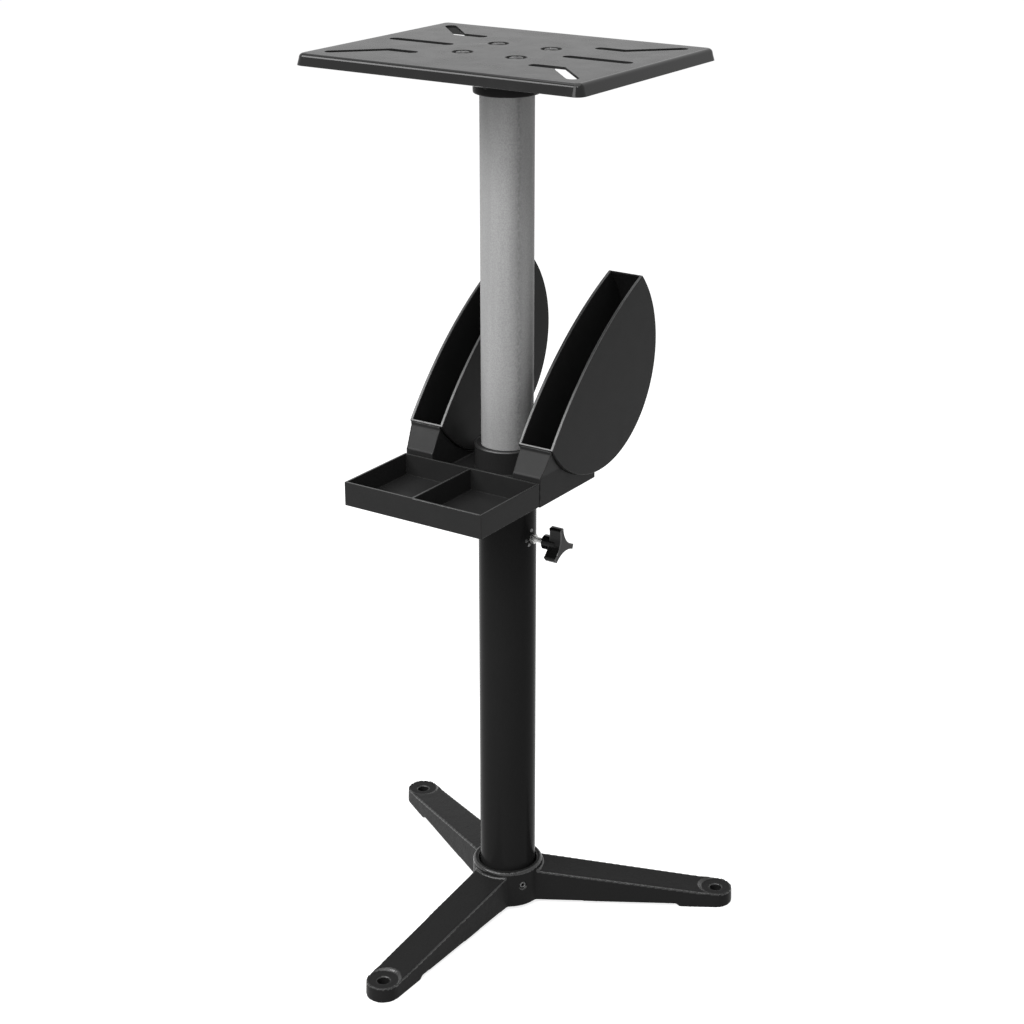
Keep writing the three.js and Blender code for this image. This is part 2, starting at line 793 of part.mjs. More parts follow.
// The room under the seat and the ramp, open below.
function cradleHollow() {
  const roof = seatRadius + bracketWall;
  const back = bracketBack - bracketWall;
  const tail = Math.asin((back - pocketCentreBehind) / roof);
  const front = lipTurn + 2 * bracketWall / roof;
  const open = bracketBottom - overcut;
  const outline = new THREE.Shape();
  outline.moveTo(-bracketFront + bracketWall, open);
  outline.lineTo(back, open);
  outline.absarc(pocketCentreBehind, pocketCentreHeight, roof, 1.5 * Math.PI + tail, front, true);
  outline.lineTo(-bracketFront + bracketWall, rampFoot - bracketWall);
  return stretch(outline, cradleInner + bracketWall, cradleOuter - bracketWall, roundSteps / 3);
}

// What lies outside the cheek: upright as far as the ramp's foot, then flaring out to the lip.
function cheekSide() {
  const flared = cradleOuter + cheekFlare;
  const outline = new THREE.Shape();
  outline.moveTo(cradleOuter, bracketBottom - overcut);
  outline.lineTo(flared + overcut, bracketBottom - overcut);
  outline.lineTo(flared + overcut, lipTop);
  outline.lineTo(flared, lipTop);
  outline.lineTo(cradleOuter, rampFoot);
  return raise(outline, -bracketBack - overcut, bracketFront + overcut).rotateX(Math.PI / 2);
}

function cradle() {
  const body = stretch(cradleOutline(), cradleInner, cradleOuter + cheekFlare, roundSteps / 3);
  return cut(solid(body), solid(cheekSide()), solid(cradleHollow()), solid(pocketKey(contactGap)));
}

function tongue(side, spare) {
  const middle = trayBottom + trayFloor + tongueThickness / 2;
  const length = tongueReach + trayWall;
  const width = tongueWidth + 2 * spare;
  const height = tongueThickness + 2 * spare;
  return block(width, length, height, side * tongueSpread / 2, trayBack + length / 2 - trayWall, middle);
}

function trayBracket() {
  const depth = bracketFront + bracketBack;
  const middle = (bracketBack - bracketFront) / 2;
  const outer = block(2 * cradleInner, depth, deckTop - bracketBottom, 0, middle, (deckTop + bracketBottom) / 2);
  const under = deckTop - deckThickness;
  const inside = block(
    2 * (cradleInner - bracketWall),
    depth - 2 * bracketWall,
    under - bracketBottom + overcut,
    0,
    middle,
    (under + bracketBottom - overcut) / 2,
  );
  const bore = lowerRadius + contactGap;
  const wall = bore + collarWall;
  const rim = [];
  for (let step = 0; step <= cornerSteps; step += 1) {
    const angle = (step / cornerSteps) * Math.PI / 2;
    const radius = wall - collarRimRadius * (1 - Math.cos(angle));
    rim.push([radius, collarTop - collarRimRadius * (1 - Math.sin(angle))]);
  }
  const collar = revolve([[0, bracketBottom], [wall, bracketBottom], ...rim, [0, collarTop]]);
  const lip = upperRadius + collarLipClearance;
  const lipUnder = collarTop - collarLip;
  const passage = revolve([
    [0, bracketBottom - overcut],
    [bore, bracketBottom - overcut],
    [bore, lipUnder],
    [lip, lipUnder],
    [lip, collarTop + overcut],
    [0, collarTop + overcut],
  ]);
  const pocketRoom = solid(seatDisc(seatRadius + contactGap, pocketInner - contactGap, pocketOuter));
  const deck = cut(solid(outer), solid(inside), pocketRoom, mirrored(pocketRoom));
  const body = join(deck, cradle(), mirrored(cradle()), solid(collar));
  return cut(body, solid(passage), ...[-1, 1].map((side) => solid(tongue(side, contactGap))));
}

piece('tray_bracket', trayBracket(), darkPlastic);

// Parts tray
function partsTray() {
  const half = bracketWidth / 2;
  const halfDepth = trayDepth / 2;
  const middle = trayBack - halfDepth;
  const top = trayBottom + trayHeight;
  const body = loft([
    roundedRectangle(half, halfDepth, trayCornerRadius, trayBottom),
    roundedRectangle(half, halfDepth, trayCornerRadius, top),
  ]).translate(0, middle, 0);
  const roomWidth = half - 1.5 * trayWall;
  const rooms = [-1, 1].map((side) => {
    const place = side * (roomWidth + trayWall) / 2;
    const room = loft([
      roundedRectangle(roomWidth / 2, halfDepth - trayWall, trayCornerRadius / 2, trayBottom + trayFloor),
      roundedRectangle(roomWidth / 2, halfDepth - trayWall, trayCornerRadius / 2, top + overcut),
    ]);
    return solid(room.translate(place, middle, 0));
  });
  const tongues = [-1, 1].map((side) => solid(tongue(side, 0)));
  return join(cut(solid(body), ...rooms), ...tongues);
}

piece('parts_tray', partsTray(), darkPlastic);

// The stand, moved so that its origin lies under the middle of its box
const reachFront = footCircleRadius + footEndRadius + legDraft * legTopAtHub;
const reachBack = pocketCentreBehind + pocketRadius;
column.position.y = (reachFront - reachBack) / 2;

const stand = new THREE.Group();
stand.add(column);

export default stand;
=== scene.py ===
"""Looks of a bench grinder stand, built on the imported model's frame, in metres."""

import json
import math

import bmesh
import bpy
from bpy.props import FloatProperty, FloatVectorProperty, IntProperty, PointerProperty
from mathutils import Matrix, Vector

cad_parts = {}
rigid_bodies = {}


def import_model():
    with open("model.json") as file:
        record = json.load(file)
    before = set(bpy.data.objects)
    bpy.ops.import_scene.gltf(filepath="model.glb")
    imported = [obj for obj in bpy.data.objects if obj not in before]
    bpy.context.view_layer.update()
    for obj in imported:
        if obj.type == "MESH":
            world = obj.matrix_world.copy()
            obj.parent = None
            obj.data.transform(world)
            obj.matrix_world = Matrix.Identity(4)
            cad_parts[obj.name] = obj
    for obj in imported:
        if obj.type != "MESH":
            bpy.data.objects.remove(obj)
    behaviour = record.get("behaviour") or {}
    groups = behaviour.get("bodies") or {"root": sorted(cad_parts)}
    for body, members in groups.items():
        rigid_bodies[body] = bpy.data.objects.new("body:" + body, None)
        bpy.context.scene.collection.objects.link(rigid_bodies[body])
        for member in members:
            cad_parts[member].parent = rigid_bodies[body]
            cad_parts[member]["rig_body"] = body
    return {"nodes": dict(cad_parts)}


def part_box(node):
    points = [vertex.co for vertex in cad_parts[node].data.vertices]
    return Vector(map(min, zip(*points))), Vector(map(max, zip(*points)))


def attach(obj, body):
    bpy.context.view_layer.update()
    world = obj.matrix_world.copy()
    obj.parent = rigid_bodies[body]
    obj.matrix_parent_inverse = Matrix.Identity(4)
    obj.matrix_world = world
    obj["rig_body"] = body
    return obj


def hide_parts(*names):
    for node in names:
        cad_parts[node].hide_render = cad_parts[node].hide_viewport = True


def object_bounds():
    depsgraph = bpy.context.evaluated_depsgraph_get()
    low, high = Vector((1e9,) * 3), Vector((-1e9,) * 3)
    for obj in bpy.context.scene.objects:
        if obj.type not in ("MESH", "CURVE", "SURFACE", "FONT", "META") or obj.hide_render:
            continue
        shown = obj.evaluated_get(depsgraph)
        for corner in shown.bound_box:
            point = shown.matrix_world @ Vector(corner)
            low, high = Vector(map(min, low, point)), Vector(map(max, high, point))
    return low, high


bl_info = {
    "name": "Bench Grinder Stand",
    "version": (1, 0, 0),
    "blender": (4, 5, 0),
    "location": "View3D > Sidebar > Stand",
    "description": "Builds the looks of a height adjustable bench grinder stand",
    "category": "Object",
}

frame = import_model()
cad_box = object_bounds()
nodes = frame["nodes"]

HALF_TURN = math.pi
FULL_TURN = 2 * math.pi
RIGHT_ANGLE = math.pi / 2
SIXTH_TURN = FULL_TURN / 6
SHARP = math.radians(50)
NUT_CHAMFER = math.radians(30)
NUT_FACE = 0.94
THREAD_PLAY = 0.0002
SEAT_PLAY = 0.0003
FILM_WIDTH = 36
RECESS_ARM = 0.5
RECESS_WIDTH = 0.12
RECESS_DEPTH = 0.6
CROWN_DROP = 0.35
# Up-tilted faces between these normal heights take a piece's second look; on the casting that look is painted
# shade, darker and glossier paint.
SLOPES = (0.15, 0.96)
SEAM_TURN = math.radians(-31)
SEAM_WIDTH = 0.0055
WELD_LUMPS = 0.15
WELD_SPOTS = ((0.0008, 0.0095), (0.0085, -0.0005), (0.0045, -0.0065))


# Sizes and colours that a user would change


def length(title, text, default):
    return FloatProperty(name=title, description=text, default=default, min=0, unit="LENGTH", precision=5)


def angle(title, text, degrees):
    return FloatProperty(name=title, description=text, default=math.radians(degrees), subtype="ANGLE")


def share(title, text, default):
    return FloatProperty(name=title, description=text, default=default, min=0, max=1, subtype="FACTOR")


def colour(title, text, default):
    return FloatVectorProperty(
        name=title, description=text, default=default, size=3, min=0, max=1, subtype="COLOR"
    )


class StandSizes(bpy.types.PropertyGroup):
    """Edges, walls and small forms that the looks give to the pieces."""

    casting_detail: length("Casting detail", "Spacing of the casting's surface points", 0.0010)
    casting_rounding: IntProperty(
        name="Casting rounding", description="How often the casting's edges are eased", default=16, min=0
    )
    moulding_detail: length("Moulding detail", "Spacing of the moulded bracket's points", 0.0007)
    moulding_rounding: IntProperty(
        name="Moulding rounding", description="How often the bracket's edges are eased", default=1, min=0
    )
    fine_edge: length("Fine edge", "Rounding of cut and moulded rims", 0.0005)
    tube_wall: length("Tube wall", "Wall of the two column tubes", 0.002)
    tube_edge: length("Tube edge", "Rounding of the sawn tube ends", 0.0006)
    plate_sheet: length("Plate sheet", "Thickness of the pressed top plate", 0.0026)
    plate_edge: length("Plate edge", "Outer bend of the top plate's rim", 0.005)
    plate_flare: length("Plate flare", "How far the rim spreads towards its lower edge", 0.002)
    plate_corner: length("Plate corner", "Corner radius of the top plate", 0.010)
    slot_width: length("Slot width", "Width of the plate's bolt slots", 0.0125)
    slot_inner_end: length("Slot inner end", "Where the slots start, from the middle", 0.073)
    slot_outer_end: length("Slot outer end", "Where the straight slots stop", 0.139)
    dog_leg_side: length("Dog-leg side", "How far the dog-leg slots lie to the side", 0.0615)
    dog_leg_knee: length("Dog-leg knee", "Where the dog-leg slots bend", 0.101)
    dog_leg_corner_x: length("Dog-leg corner X", "Where the dog-leg slots stop, sideways", 0.142)
    dog_leg_corner_y: length("Dog-leg corner Y", "Where the dog-leg slots stop, in depth", 0.104)
    dimple_radius: length("Dimple radius", "Upper radius of the screws' dimples", 0.0115)
    dimple_floor: length("Dimple floor", "Floor radius of the screws' dimples", 0.0090)
    dimple_depth: length("Dimple depth", "Depth of the screws' dimples", 0.0030)
    screw_hole: length("Screw hole", "Radius of the plate's screw holes", 0.0043)
    collar_radius: length("Collar radius", "Outer radius of the bracket's collar", 0.0354)
    collar_round: length("Collar rounding", "Rounding of the collar's upper edge", 0.0016)
    collar_rise: length("Collar rise", "How far the collar stands above the lower tube", 0.0035)
    pocket_wall: length("Pocket wall", "Side walls of the wheel pockets", 0.0034)
    pocket_back: length("Pocket back", "Wall of the pockets' round back", 0.0022)
    pocket_edge: length("Pocket edge", "Rounding of the wheel pockets' edges", 0.0008)
    pocket_radius: length("Pocket radius", "Radius of the pockets' round back", 0.1158)
    pocket_behind: length("Pocket centre", "Centre of the round back behind the column", 0.04215)
    mouth_reach: length("Mouth reach", "How far the rim bulges past the round back's centre", 0.024)
    mouth_radius: length("Mouth radius", "Radius of the pockets' bowed rim", 0.4627)
    mouth_lean: angle("Mouth lean", "How far the mouth leans to the front", 39.55)
    tray_wall: length("Tray wall", "Wall and floor of the parts tray", 0.0026)
    tray_edge: length("Tray edge", "Rounding of the parts tray's edges", 0.0007)
    tongue_reach: length("Tongue reach", "Depth of the tongues behind the tray", 0.011)
    tongue_width: length("Tongue width", "Width of the tongues behind the tray", 0.024)
    tongue_spread: length("Tongue spread", "Distance between the tongues' middles", 0.050)
    weld_radius: length("Weld radius", "Radius of the weld beads beside the nut", 0.0024)
    weld_height: length("Weld height", "How far the weld beads stand out", 0.0014)
    knob_reach: length("Knob reach", "Reach of the knob's three arms", 0.0207)
    knob_tip: length("Knob tip", "Width of an arm's tip", 0.006)
    knob_valley: length("Knob valley", "How close the hollows come to the middle", 0.0025)
    knob_turn: angle("Knob turn", "Direction of the knob's first arm", 100)
    knob_boss: length("Knob boss", "Radius of the knob's boss", 0.00825)
    knob_arms: length("Knob arms", "Length of the knob's star", 0.015)
    knob_edge: length("Knob edge", "Rounding of the knob's edges", 0.0009)
    stud_pitch: length("Stud pitch", "Pitch of the stud's thread", 0.001)
    stud_depth: length("Stud depth", "Depth of the stud's thread", 0.0005)


class StandColours(bpy.types.PropertyGroup):
    """Colours of the finishes."""

    casting: colour("Base casting", "Painted iron of the base", (0.018, 0.018, 0.018))
    # Painted shade: the casting's up-tilted slopes get darker, glossier paint, so that lamp highlights stand out
    # on them; the paint there is not rubbed.
    casting_slope_shade: colour("Casting edge", "Paint on the casting's slopes and edges, rubbed glossy", (0.008, 0.008, 0.008))
    tube: colour("Lower tube", "Black paint of the lower tube", (0.014, 0.014, 0.014))
    tube_dull: colour("Lower tube, dull", "Faded clouds in the black paint", (0.018, 0.018, 0.018))
    silver: colour("Upper tube", "Bare tube that slides", (0.41, 0.41, 0.41))
    silver_dull: colour("Upper tube, dull", "Darker streaks and grain of the sliding tube", (0.27, 0.27, 0.27))
    silver_seam: colour("Upper tube, seam", "Marks along the sliding tube's weld seam", (0.24, 0.24, 0.24))
    plate: colour("Top plate", "Black coat of the top plate", (0.012, 0.012, 0.012))
    # Painted shade: the bent rim and skirt are coloured darker than the plate's top; their coat is glossier too.
    plate_skirt_shade: colour("Plate rim", "Glossy coat on the plate's bent rim", (0.006, 0.006, 0.006))
    plastic: colour("Tray plastic", "Moulded plastic of tray, bracket and pockets", (0.019, 0.019, 0.019))
    plastic_dull: colour("Tray plastic, dull", "Scuffed clouds in the moulded plastic", (0.024, 0.024, 0.024))
    knob: colour("Knob plastic", "Glossy plastic of the knob", (0.010, 0.010, 0.010))
    zinc: colour("Zinc", "Plated nuts, washers and stud", (0.58, 0.58, 0.57))
    steel: colour("Black steel", "Oxidised screws", (0.04, 0.04, 0.04))
    worn: colour("Worn steel", "Where the screws' oxide is worn off", (0.26, 0.26, 0.26))
    floor: colour("Floor", "Studio floor", (0.60, 0.60, 0.60))


class StandStage(bpy.types.PropertyGroup):
    """Camera, lamps and floor."""

    eye: FloatVectorProperty(
        name="Eye", description="Where the camera stands", default=(1.1429, -1.6624, 1.2972), unit="LENGTH"
    )
    azimuth: angle("Azimuth", "Direction from the stand to the camera", 33.55)
    pitch: angle("Pitch", "How far the camera looks down", 21.6)
    lens: FloatProperty(name="Lens", description="Focal length for a 36 mm frame", default=71.42, unit="CAMERA")
    key: FloatProperty(name="Key lamp", description="Soft lamp left of the camera", default=53, unit="POWER")
    side: FloatProperty(name="Side lamp", description="Soft lamp high on the left", default=29, unit="POWER")
    fill: FloatProperty(name="Fill lamp", description="Soft lamp right of the camera", default=14, unit="POWER")
    top: FloatProperty(name="Top lamp", description="Soft lamp overhead", default=30, unit="POWER")
    ambient: share("Ambient", "Light from all round", 0.30)
    glow: share("Floor glow", "How far the floor is lifted towards white", 0.82)


# Meshes


def add_object(name, mesh):
    piece = bpy.data.objects.new(name, mesh)
    bpy.context.scene.collection.objects.link(piece)
    return piece


def object_from(name, shell):
    mesh = bpy.data.meshes.new(name)
    shell.to_mesh(mesh)
    shell.free()
    mesh.shade_smooth()
    return add_object(name, mesh)


def fillet(points, radius, steps=4):
    """A closed outline with each of its corners rounded."""
    rounded = []
    count = len(points)
    for index in range(count):
        corner = Vector(points[index])
        before = (Vector(points[index - 1]) - corner).normalized()
        after = (Vector(points[(index + 1) % count]) - corner).normalized()
        half = before.angle(after) / 2
        centre = corner + (before + after).normalized() * (radius / math.sin(half))
        reach = radius / math.tan(half)
        start = (corner + before * reach - centre).normalized()
        end = (corner + after * reach - centre).normalized()
        for step in range(steps + 1):
            rounded.append(centre + radius * start.slerp(end, step / steps))
    return rounded


def at_angle(size, turn):
    return size(turn) if callable(size) else size


def add_ring(shell, radius, along, steps, place):
    """A ring about the local Z axis. Radius and height may vary with the angle."""
    ring = []
    for step in range(steps):
        turn = FULL_TURN * step / steps
        reach = at_angle(radius, turn)
        point = Vector((reach * math.cos(turn), reach * math.sin(turn), at_angle(along, turn)))
        ring.append(shell.verts.new(place @ point))
    return ring


def join_rings(shell, lower, upper):
    count = len(lower)
    for index in range(count):
        after = (index + 1) % count
        shell.faces.new((lower[index], lower[after], upper[after], upper[index]))


def turned(name, rings, steps, place, looped=False):
    """A turned piece. Its rings of (radius, height) run up the outside; a looped one closes on itself."""
    shell = bmesh.new()
    loops = [add_ring(shell, radius, along, steps, place) for radius, along in rings]
    for lower, upper in zip(loops, loops[1:]):
        join_rings(shell, lower, upper)
    if looped:
        join_rings(shell, loops[-1], loops[0])
    else:
        shell.faces.new(reversed(loops[0]))
        shell.faces.new(loops[-1])
    bmesh.ops.recalc_face_normals(shell, faces=shell.faces)
    return object_from(name, shell)


def hexagon(width, corner=0.0):
    """The radius of a hexagon across flats, at an angle, with one corner in a given direction."""
    return lambda turn: width / 2 / math.cos((turn - corner) % SIXTH_TURN - SIXTH_TURN / 2)


def rounded_box(piece, width, segments=3, limit=SHARP):
    bevel = piece.modifiers.new("Rounding", "BEVEL")
    bevel.width = width
    bevel.segments = segments
    bevel.limit_method = "ANGLE"
    bevel.angle_limit = limit
    bevel.use_clamp_overlap = True
    bevel.harden_normals = True
    return piece


def thickened(piece, wall):
    sheet = piece.modifiers.new("Wall", "SOLIDIFY")
    sheet.thickness = wall
    sheet.offset = -1
    sheet.use_even_offset = True
    return piece


def even_shading(piece):
    normals = piece.modifiers.new("Shading", "WEIGHTED_NORMAL")
    normals.keep_sharp = True
    return piece


def with_modifiers_applied(piece):
    graph = bpy.context.evaluated_depsgraph_get()
    graph.update()
    mesh = bpy.data.meshes.new_from_object(piece.evaluated_get(graph))
    piece.modifiers.clear()
    piece.data = mesh
    return piece


def combined(piece, tool, operation):
    """The piece joined with, or cut by, a tool that is then taken away."""
    step = piece.modifiers.new("Combine", "BOOLEAN")
    step.operation = operation
    step.object = tool
    step.solver = "EXACT"
    with_modifiers_applied(piece)
    bpy.data.objects.remove(tool)
    return piece


def eased_copy(node, detail, rounding):
    """A copy of a solid with eased edges, as a mould leaves them. Its slopes and edges have the second look."""
    piece = add_object(node + "_eased", nodes[node].data.copy())
    piece.data.materials.clear()
    remesh = piece.modifiers.new("Skin", "REMESH")
    remesh.mode = "VOXEL"
    remesh.voxel_size = detail
    remesh.use_smooth_shade = True
    ease = piece.modifiers.new("Ease", "SMOOTH")
    ease.factor = 0.5
    ease.iterations = rounding
    with_modifiers_applied(piece)
    # On the casting, the second look on the slopes is painted shade: darker, glossier paint.
    low, high = SLOPES
    for face in piece.data.polygons:
        face.material_index = int(low < face.normal.z < high)
    return piece


# Finishes


def node(tree, kind, inputs, **settings):
    """A shader node. Inputs that are sockets are linked, others are set."""
    made = tree.nodes.new(kind)
    for name, setting in settings.items():
        setattr(made, name, setting)
    for name, given in inputs.items():
        if isinstance(given, bpy.types.NodeSocket):
            tree.links.new(given, made.inputs[name])
        else:
            made.inputs[name].default_value = given
    return made


def opaque(rgb):
    return (*rgb, 1.0)


def surface_place(tree, stretch=(1, 1, 1)):
    """Coordinates on the piece, in metres, stretched along its axes."""
    place = node(tree, "ShaderNodeTexCoord", {})
    return node(
        tree, "ShaderNodeMapping", {"Vector": place.outputs["Object"], "Scale": stretch}
    ).outputs["Vector"]


def noise(tree, scale, detail=3.0, stretch=(1, 1, 1)):
    inputs = {"Vector": surface_place(tree, stretch), "Scale": scale, "Detail": detail}
    return node(tree, "ShaderNodeTexNoise", inputs).outputs["Fac"]


def remapped(tree, fac, low, high, to_low, to_high):
    inputs = {
        "Value": fac,
        "From Min": low,
        "From Max": high,
        "To Min": to_low,
        "To Max": to_high,
    }
    return node(tree, "ShaderNodeMapRange", inputs).outputs["Result"]


def product(tree, first, second):
    made = node(tree, "ShaderNodeMath", {}, operation="MULTIPLY")
    tree.links.new(first, made.inputs[0])
    tree.links.new(second, made.inputs[1])
    return made.outputs["Value"]


def blended(tree, fac, first, second):
    made = node(tree, "ShaderNodeMix", {}, data_type="RGBA")
    tree.links.new(fac, made.inputs["Factor"])
    for socket, given in ((made.inputs[6], first), (made.inputs[7], second)):
        if isinstance(given, bpy.types.NodeSocket):
            tree.links.new(given, socket)
        else:
            socket.default_value = given
    return made.outputs[2]


def bump(tree, height, strength, distance, under=None):
    inputs = {"Height": height, "Strength": strength, "Distance": distance}
    if under is not None:
        inputs["Normal"] = under
    return node(tree, "ShaderNodeBump", inputs).outputs["Normal"]


def new_finish(name, **constants):
    material = bpy.data.materials.new(name)
    material.use_nodes = True
    shader = material.node_tree.nodes["Principled BSDF"]
    for title, given in constants.items():
        shader.inputs[title.replace("_", " ")].default_value = given
    return material, material.node_tree, shader


def rubbed_edges(tree, low, high, scale):
    """Outer edges of a dense mesh, broken up: 1 where the coat is rubbed."""
    shape = node(tree, "ShaderNodeNewGeometry", {})
    edge = remapped(tree, shape.outputs["Pointiness"], low, high, 0.0, 1.0)
    return product(tree, edge, remapped(tree, noise(tree, scale, 4.0), 0.38, 0.58, 0.0, 1.0))


def casting_paint(name, tint, low, high, relief, **constants):
    """Paint on rough iron. Its roughness lies between two values, and its grain has a strength."""
    material, tree, shader = new_finish(name, **constants)
    grain = noise(tree, 420.0, 4.0)
    shader.inputs["Base Color"].default_value = opaque(tint)
    tree.links.new(remapped(tree, grain, 0.3, 0.7, low, high), shader.inputs["Roughness"])
    lumps = bump(tree, noise(tree, 70.0, 2.0), 0.25, 0.0012)
    tree.links.new(bump(tree, grain, relief, 0.0005, lumps), shader.inputs["Normal"])
    return material


def casting_finish(colours):
    return casting_paint("casting_paint", colours.casting, 0.26, 0.40, 0.35, Specular_IOR_Level=0.03)


# Painted shade on the casting's slopes: darker than its other faces and glossier, so that the lamps glint on
# them.
def casting_slope_shade_finish(colours):
    return casting_paint("casting_slope_shade_paint", colours.casting_slope_shade, 0.08, 0.22, 0.9, Specular_IOR_Level=0.55)


def tube_finish(colours):
    material, tree, shader = new_finish("lower_tube_paint", Specular_IOR_Level=0.02)
    streaks = noise(tree, 30.0, 3.0, (1, 1, 0.1))
    clouds = noise(tree, 9.0, 4.0)
    paint = blended(tree, clouds, opaque(colours.tube), opaque(colours.tube_dull))
    tree.links.new(paint, shader.inputs["Base Color"])
    tree.links.new(remapped(tree, streaks, 0.3, 0.7, 0.16, 0.26), shader.inputs["Roughness"])
    tree.links.new(bump(tree, noise(tree, 330.0, 2.0), 0.06, 0.0004), shader.inputs["Normal"])
    return material


def seam(tree, axis, turn, width):
    """1 in the marks along the weld seam of a tube, which runs upright at an angle about its axis."""
    place = node(tree, "ShaderNodeTexCoord", {}).outputs["Object"]
    inputs = {"Vector": place, "Location": axis, "Rotation": (0, 0, turn)}
    local = node(tree, "ShaderNodeMapping", inputs, vector_type="TEXTURE").outputs["Vector"]
    parts = node(tree, "ShaderNodeSeparateXYZ", {"Vector": local})
    aside = node(tree, "ShaderNodeMath", {}, operation="ABSOLUTE")
    tree.links.new(parts.outputs["Y"], aside.inputs[0])
    line = remapped(tree, aside.outputs["Value"], 0.0, width, 1.0, 0.0)
    front = remapped(tree, parts.outputs["X"], 0.0, width, 0.0, 1.0)
    marks = remapped(tree, noise(tree, 420.0, 5.0, (1, 1, 0.7)), 0.36, 0.64, 0.0, 1.0)
    return product(tree, product(tree, line, front), marks)


def silver_finish(colours):
    material, tree, shader = new_finish("upper_tube_steel", Metallic=0.1, Specular_IOR_Level=0.05)
    streaks = remapped(tree, noise(tree, 60.0, 6.0, (1, 1, 0.06)), 0.36, 0.66, 0.0, 0.5)
    grain = remapped(tree, noise(tree, 700.0, 2.0), 0.35, 0.65, 0.0, 0.6)
    marks = seam(tree, middle("upper_tube"), SEAM_TURN, SEAM_WIDTH)
    scratches = noise(tree, 500.0, 2.0, (1, 1, 0.05))
    streaked = blended(tree, streaks, opaque(colours.silver), opaque(colours.silver_dull))
    speckled = blended(tree, grain, streaked, opaque(colours.silver_dull))
    tint = blended(tree, marks, speckled, opaque(colours.silver_seam))
    tree.links.new(tint, shader.inputs["Base Color"])
    tree.links.new(remapped(tree, scratches, 0.3, 0.7, 0.42, 0.56), shader.inputs["Roughness"])
    tree.links.new(bump(tree, scratches, 0.05, 0.0003), shader.inputs["Normal"])
    return material


def plate_finish(colours):
    material, tree, shader = new_finish("top_plate_coat", Specular_IOR_Level=0.078)
    shader.inputs["Base Color"].default_value = opaque(colours.plate)
    tree.links.new(remapped(tree, noise(tree, 40.0), 0.3, 0.7, 0.24, 0.28), shader.inputs["Roughness"])
    tree.links.new(bump(tree, noise(tree, 600.0, 2.0), 0.01, 0.0003), shader.inputs["Normal"])
    return material


def plate_skirt_shade_finish(colours):
    """The same coat where the bend has drawn it smooth and glossy, painted darker on the bent rim and skirt as
    shade.
    """
    material, tree, shader = new_finish("top_plate_skirt_shade_coat", Specular_IOR_Level=0.3)
    shader.inputs["Base Color"].default_value = opaque(colours.plate_skirt_shade)
    tree.links.new(remapped(tree, noise(tree, 60.0), 0.3, 0.7, 0.08, 0.15), shader.inputs["Roughness"])
    tree.links.new(bump(tree, noise(tree, 160.0, 2.0), 0.05, 0.0004), shader.inputs["Normal"])
    return material


def moulding(name, colours, **constants):
    """Satin plastic with fine grain and faint scuffs."""
    material, tree, shader = new_finish(name, **constants)
    scuffs = noise(tree, 55.0, 6.0)
    tint = blended(tree, scuffs, opaque(colours.plastic), opaque(colours.plastic_dull))
    tree.links.new(tint, shader.inputs["Base Color"])
    tree.links.new(remapped(tree, scuffs, 0.3, 0.7, 0.32, 0.42), shader.inputs["Roughness"])
    tree.links.new(bump(tree, noise(tree, 1300.0, 2.0), 0.10, 0.0002), shader.inputs["Normal"])
    return material, tree, shader


def plastic_finish(colours):
    return moulding("tray_moulding", colours, Specular_IOR_Level=0.05)[0]


def worn_moulding(name, colours, gloss):
    """The same plastic with rubbed edges. Gloss is that of its faces."""
    material, tree, shader = moulding(name, colours, Specular_IOR_Level=gloss)
    rubbed = rubbed_edges(tree, 0.52, 0.58, 120.0)
    tree.links.new(remapped(tree, rubbed, 0.0, 1.0, gloss, 0.7), shader.inputs["Specular IOR Level"])
    return material


def bracket_finish(colours):
    return worn_moulding("bracket_moulding", colours, 0.045)


def ramp_finish(colours):
    return worn_moulding("ramp_moulding", colours, 0.11)


def rim_finish(colours):
    """Rims that hands have polished."""
    material, tree, shader = moulding("rim_moulding", colours, Specular_IOR_Level=0.7)
    polish = noise(tree, 90.0, 4.0)
    tree.links.new(remapped(tree, polish, 0.3, 0.7, 0.30, 0.40), shader.inputs["Roughness"])
    return material


def knob_moulding(name, colours, **constants):
    material, tree, shader = new_finish(name, **constants)
    handled = noise(tree, 160.0, 4.0)
    shader.inputs["Base Color"].default_value = opaque(colours.knob)
    tree.links.new(remapped(tree, handled, 0.3, 0.7, 0.10, 0.24), shader.inputs["Roughness"])
    tree.links.new(bump(tree, handled, 0.05, 0.0003), shader.inputs["Normal"])
    return material


def knob_finish(colours):
    return knob_moulding("knob_plastic", colours, Specular_IOR_Level=0.14)


def knob_edge_finish(colours):
    return knob_moulding("knob_edge_plastic", colours, Specular_IOR_Level=0.8)


def bush_finish(colours):
    material, tree, shader = new_finish("bush_moulding", Specular_IOR_Level=0.4)
    wear = noise(tree, 120.0, 4.0, (1, 1, 0.1))
    tint = blended(tree, wear, opaque(colours.plastic), opaque(colours.worn))
    tree.links.new(tint, shader.inputs["Base Color"])
    tree.links.new(remapped(tree, wear, 0.3, 0.7, 0.40, 0.60), shader.inputs["Roughness"])
    tree.links.new(bump(tree, wear, 0.08, 0.0002), shader.inputs["Normal"])
    return material


def zinc_finish(colours):
    material, tree, shader = new_finish("zinc_plating", Metallic=1.0)
    crystals = noise(tree, 700.0, 3.0)
    dull = tuple(part * 0.6 for part in colours.zinc)
    tint = blended(tree, crystals, opaque(dull), opaque(colours.zinc))
    tree.links.new(tint, shader.inputs["Base Color"])
    tree.links.new(remapped(tree, crystals, 0.3, 0.7, 0.22, 0.40), shader.inputs["Roughness"])
    tree.links.new(bump(tree, crystals, 0.08, 0.0002), shader.inputs["Normal"])
    return material


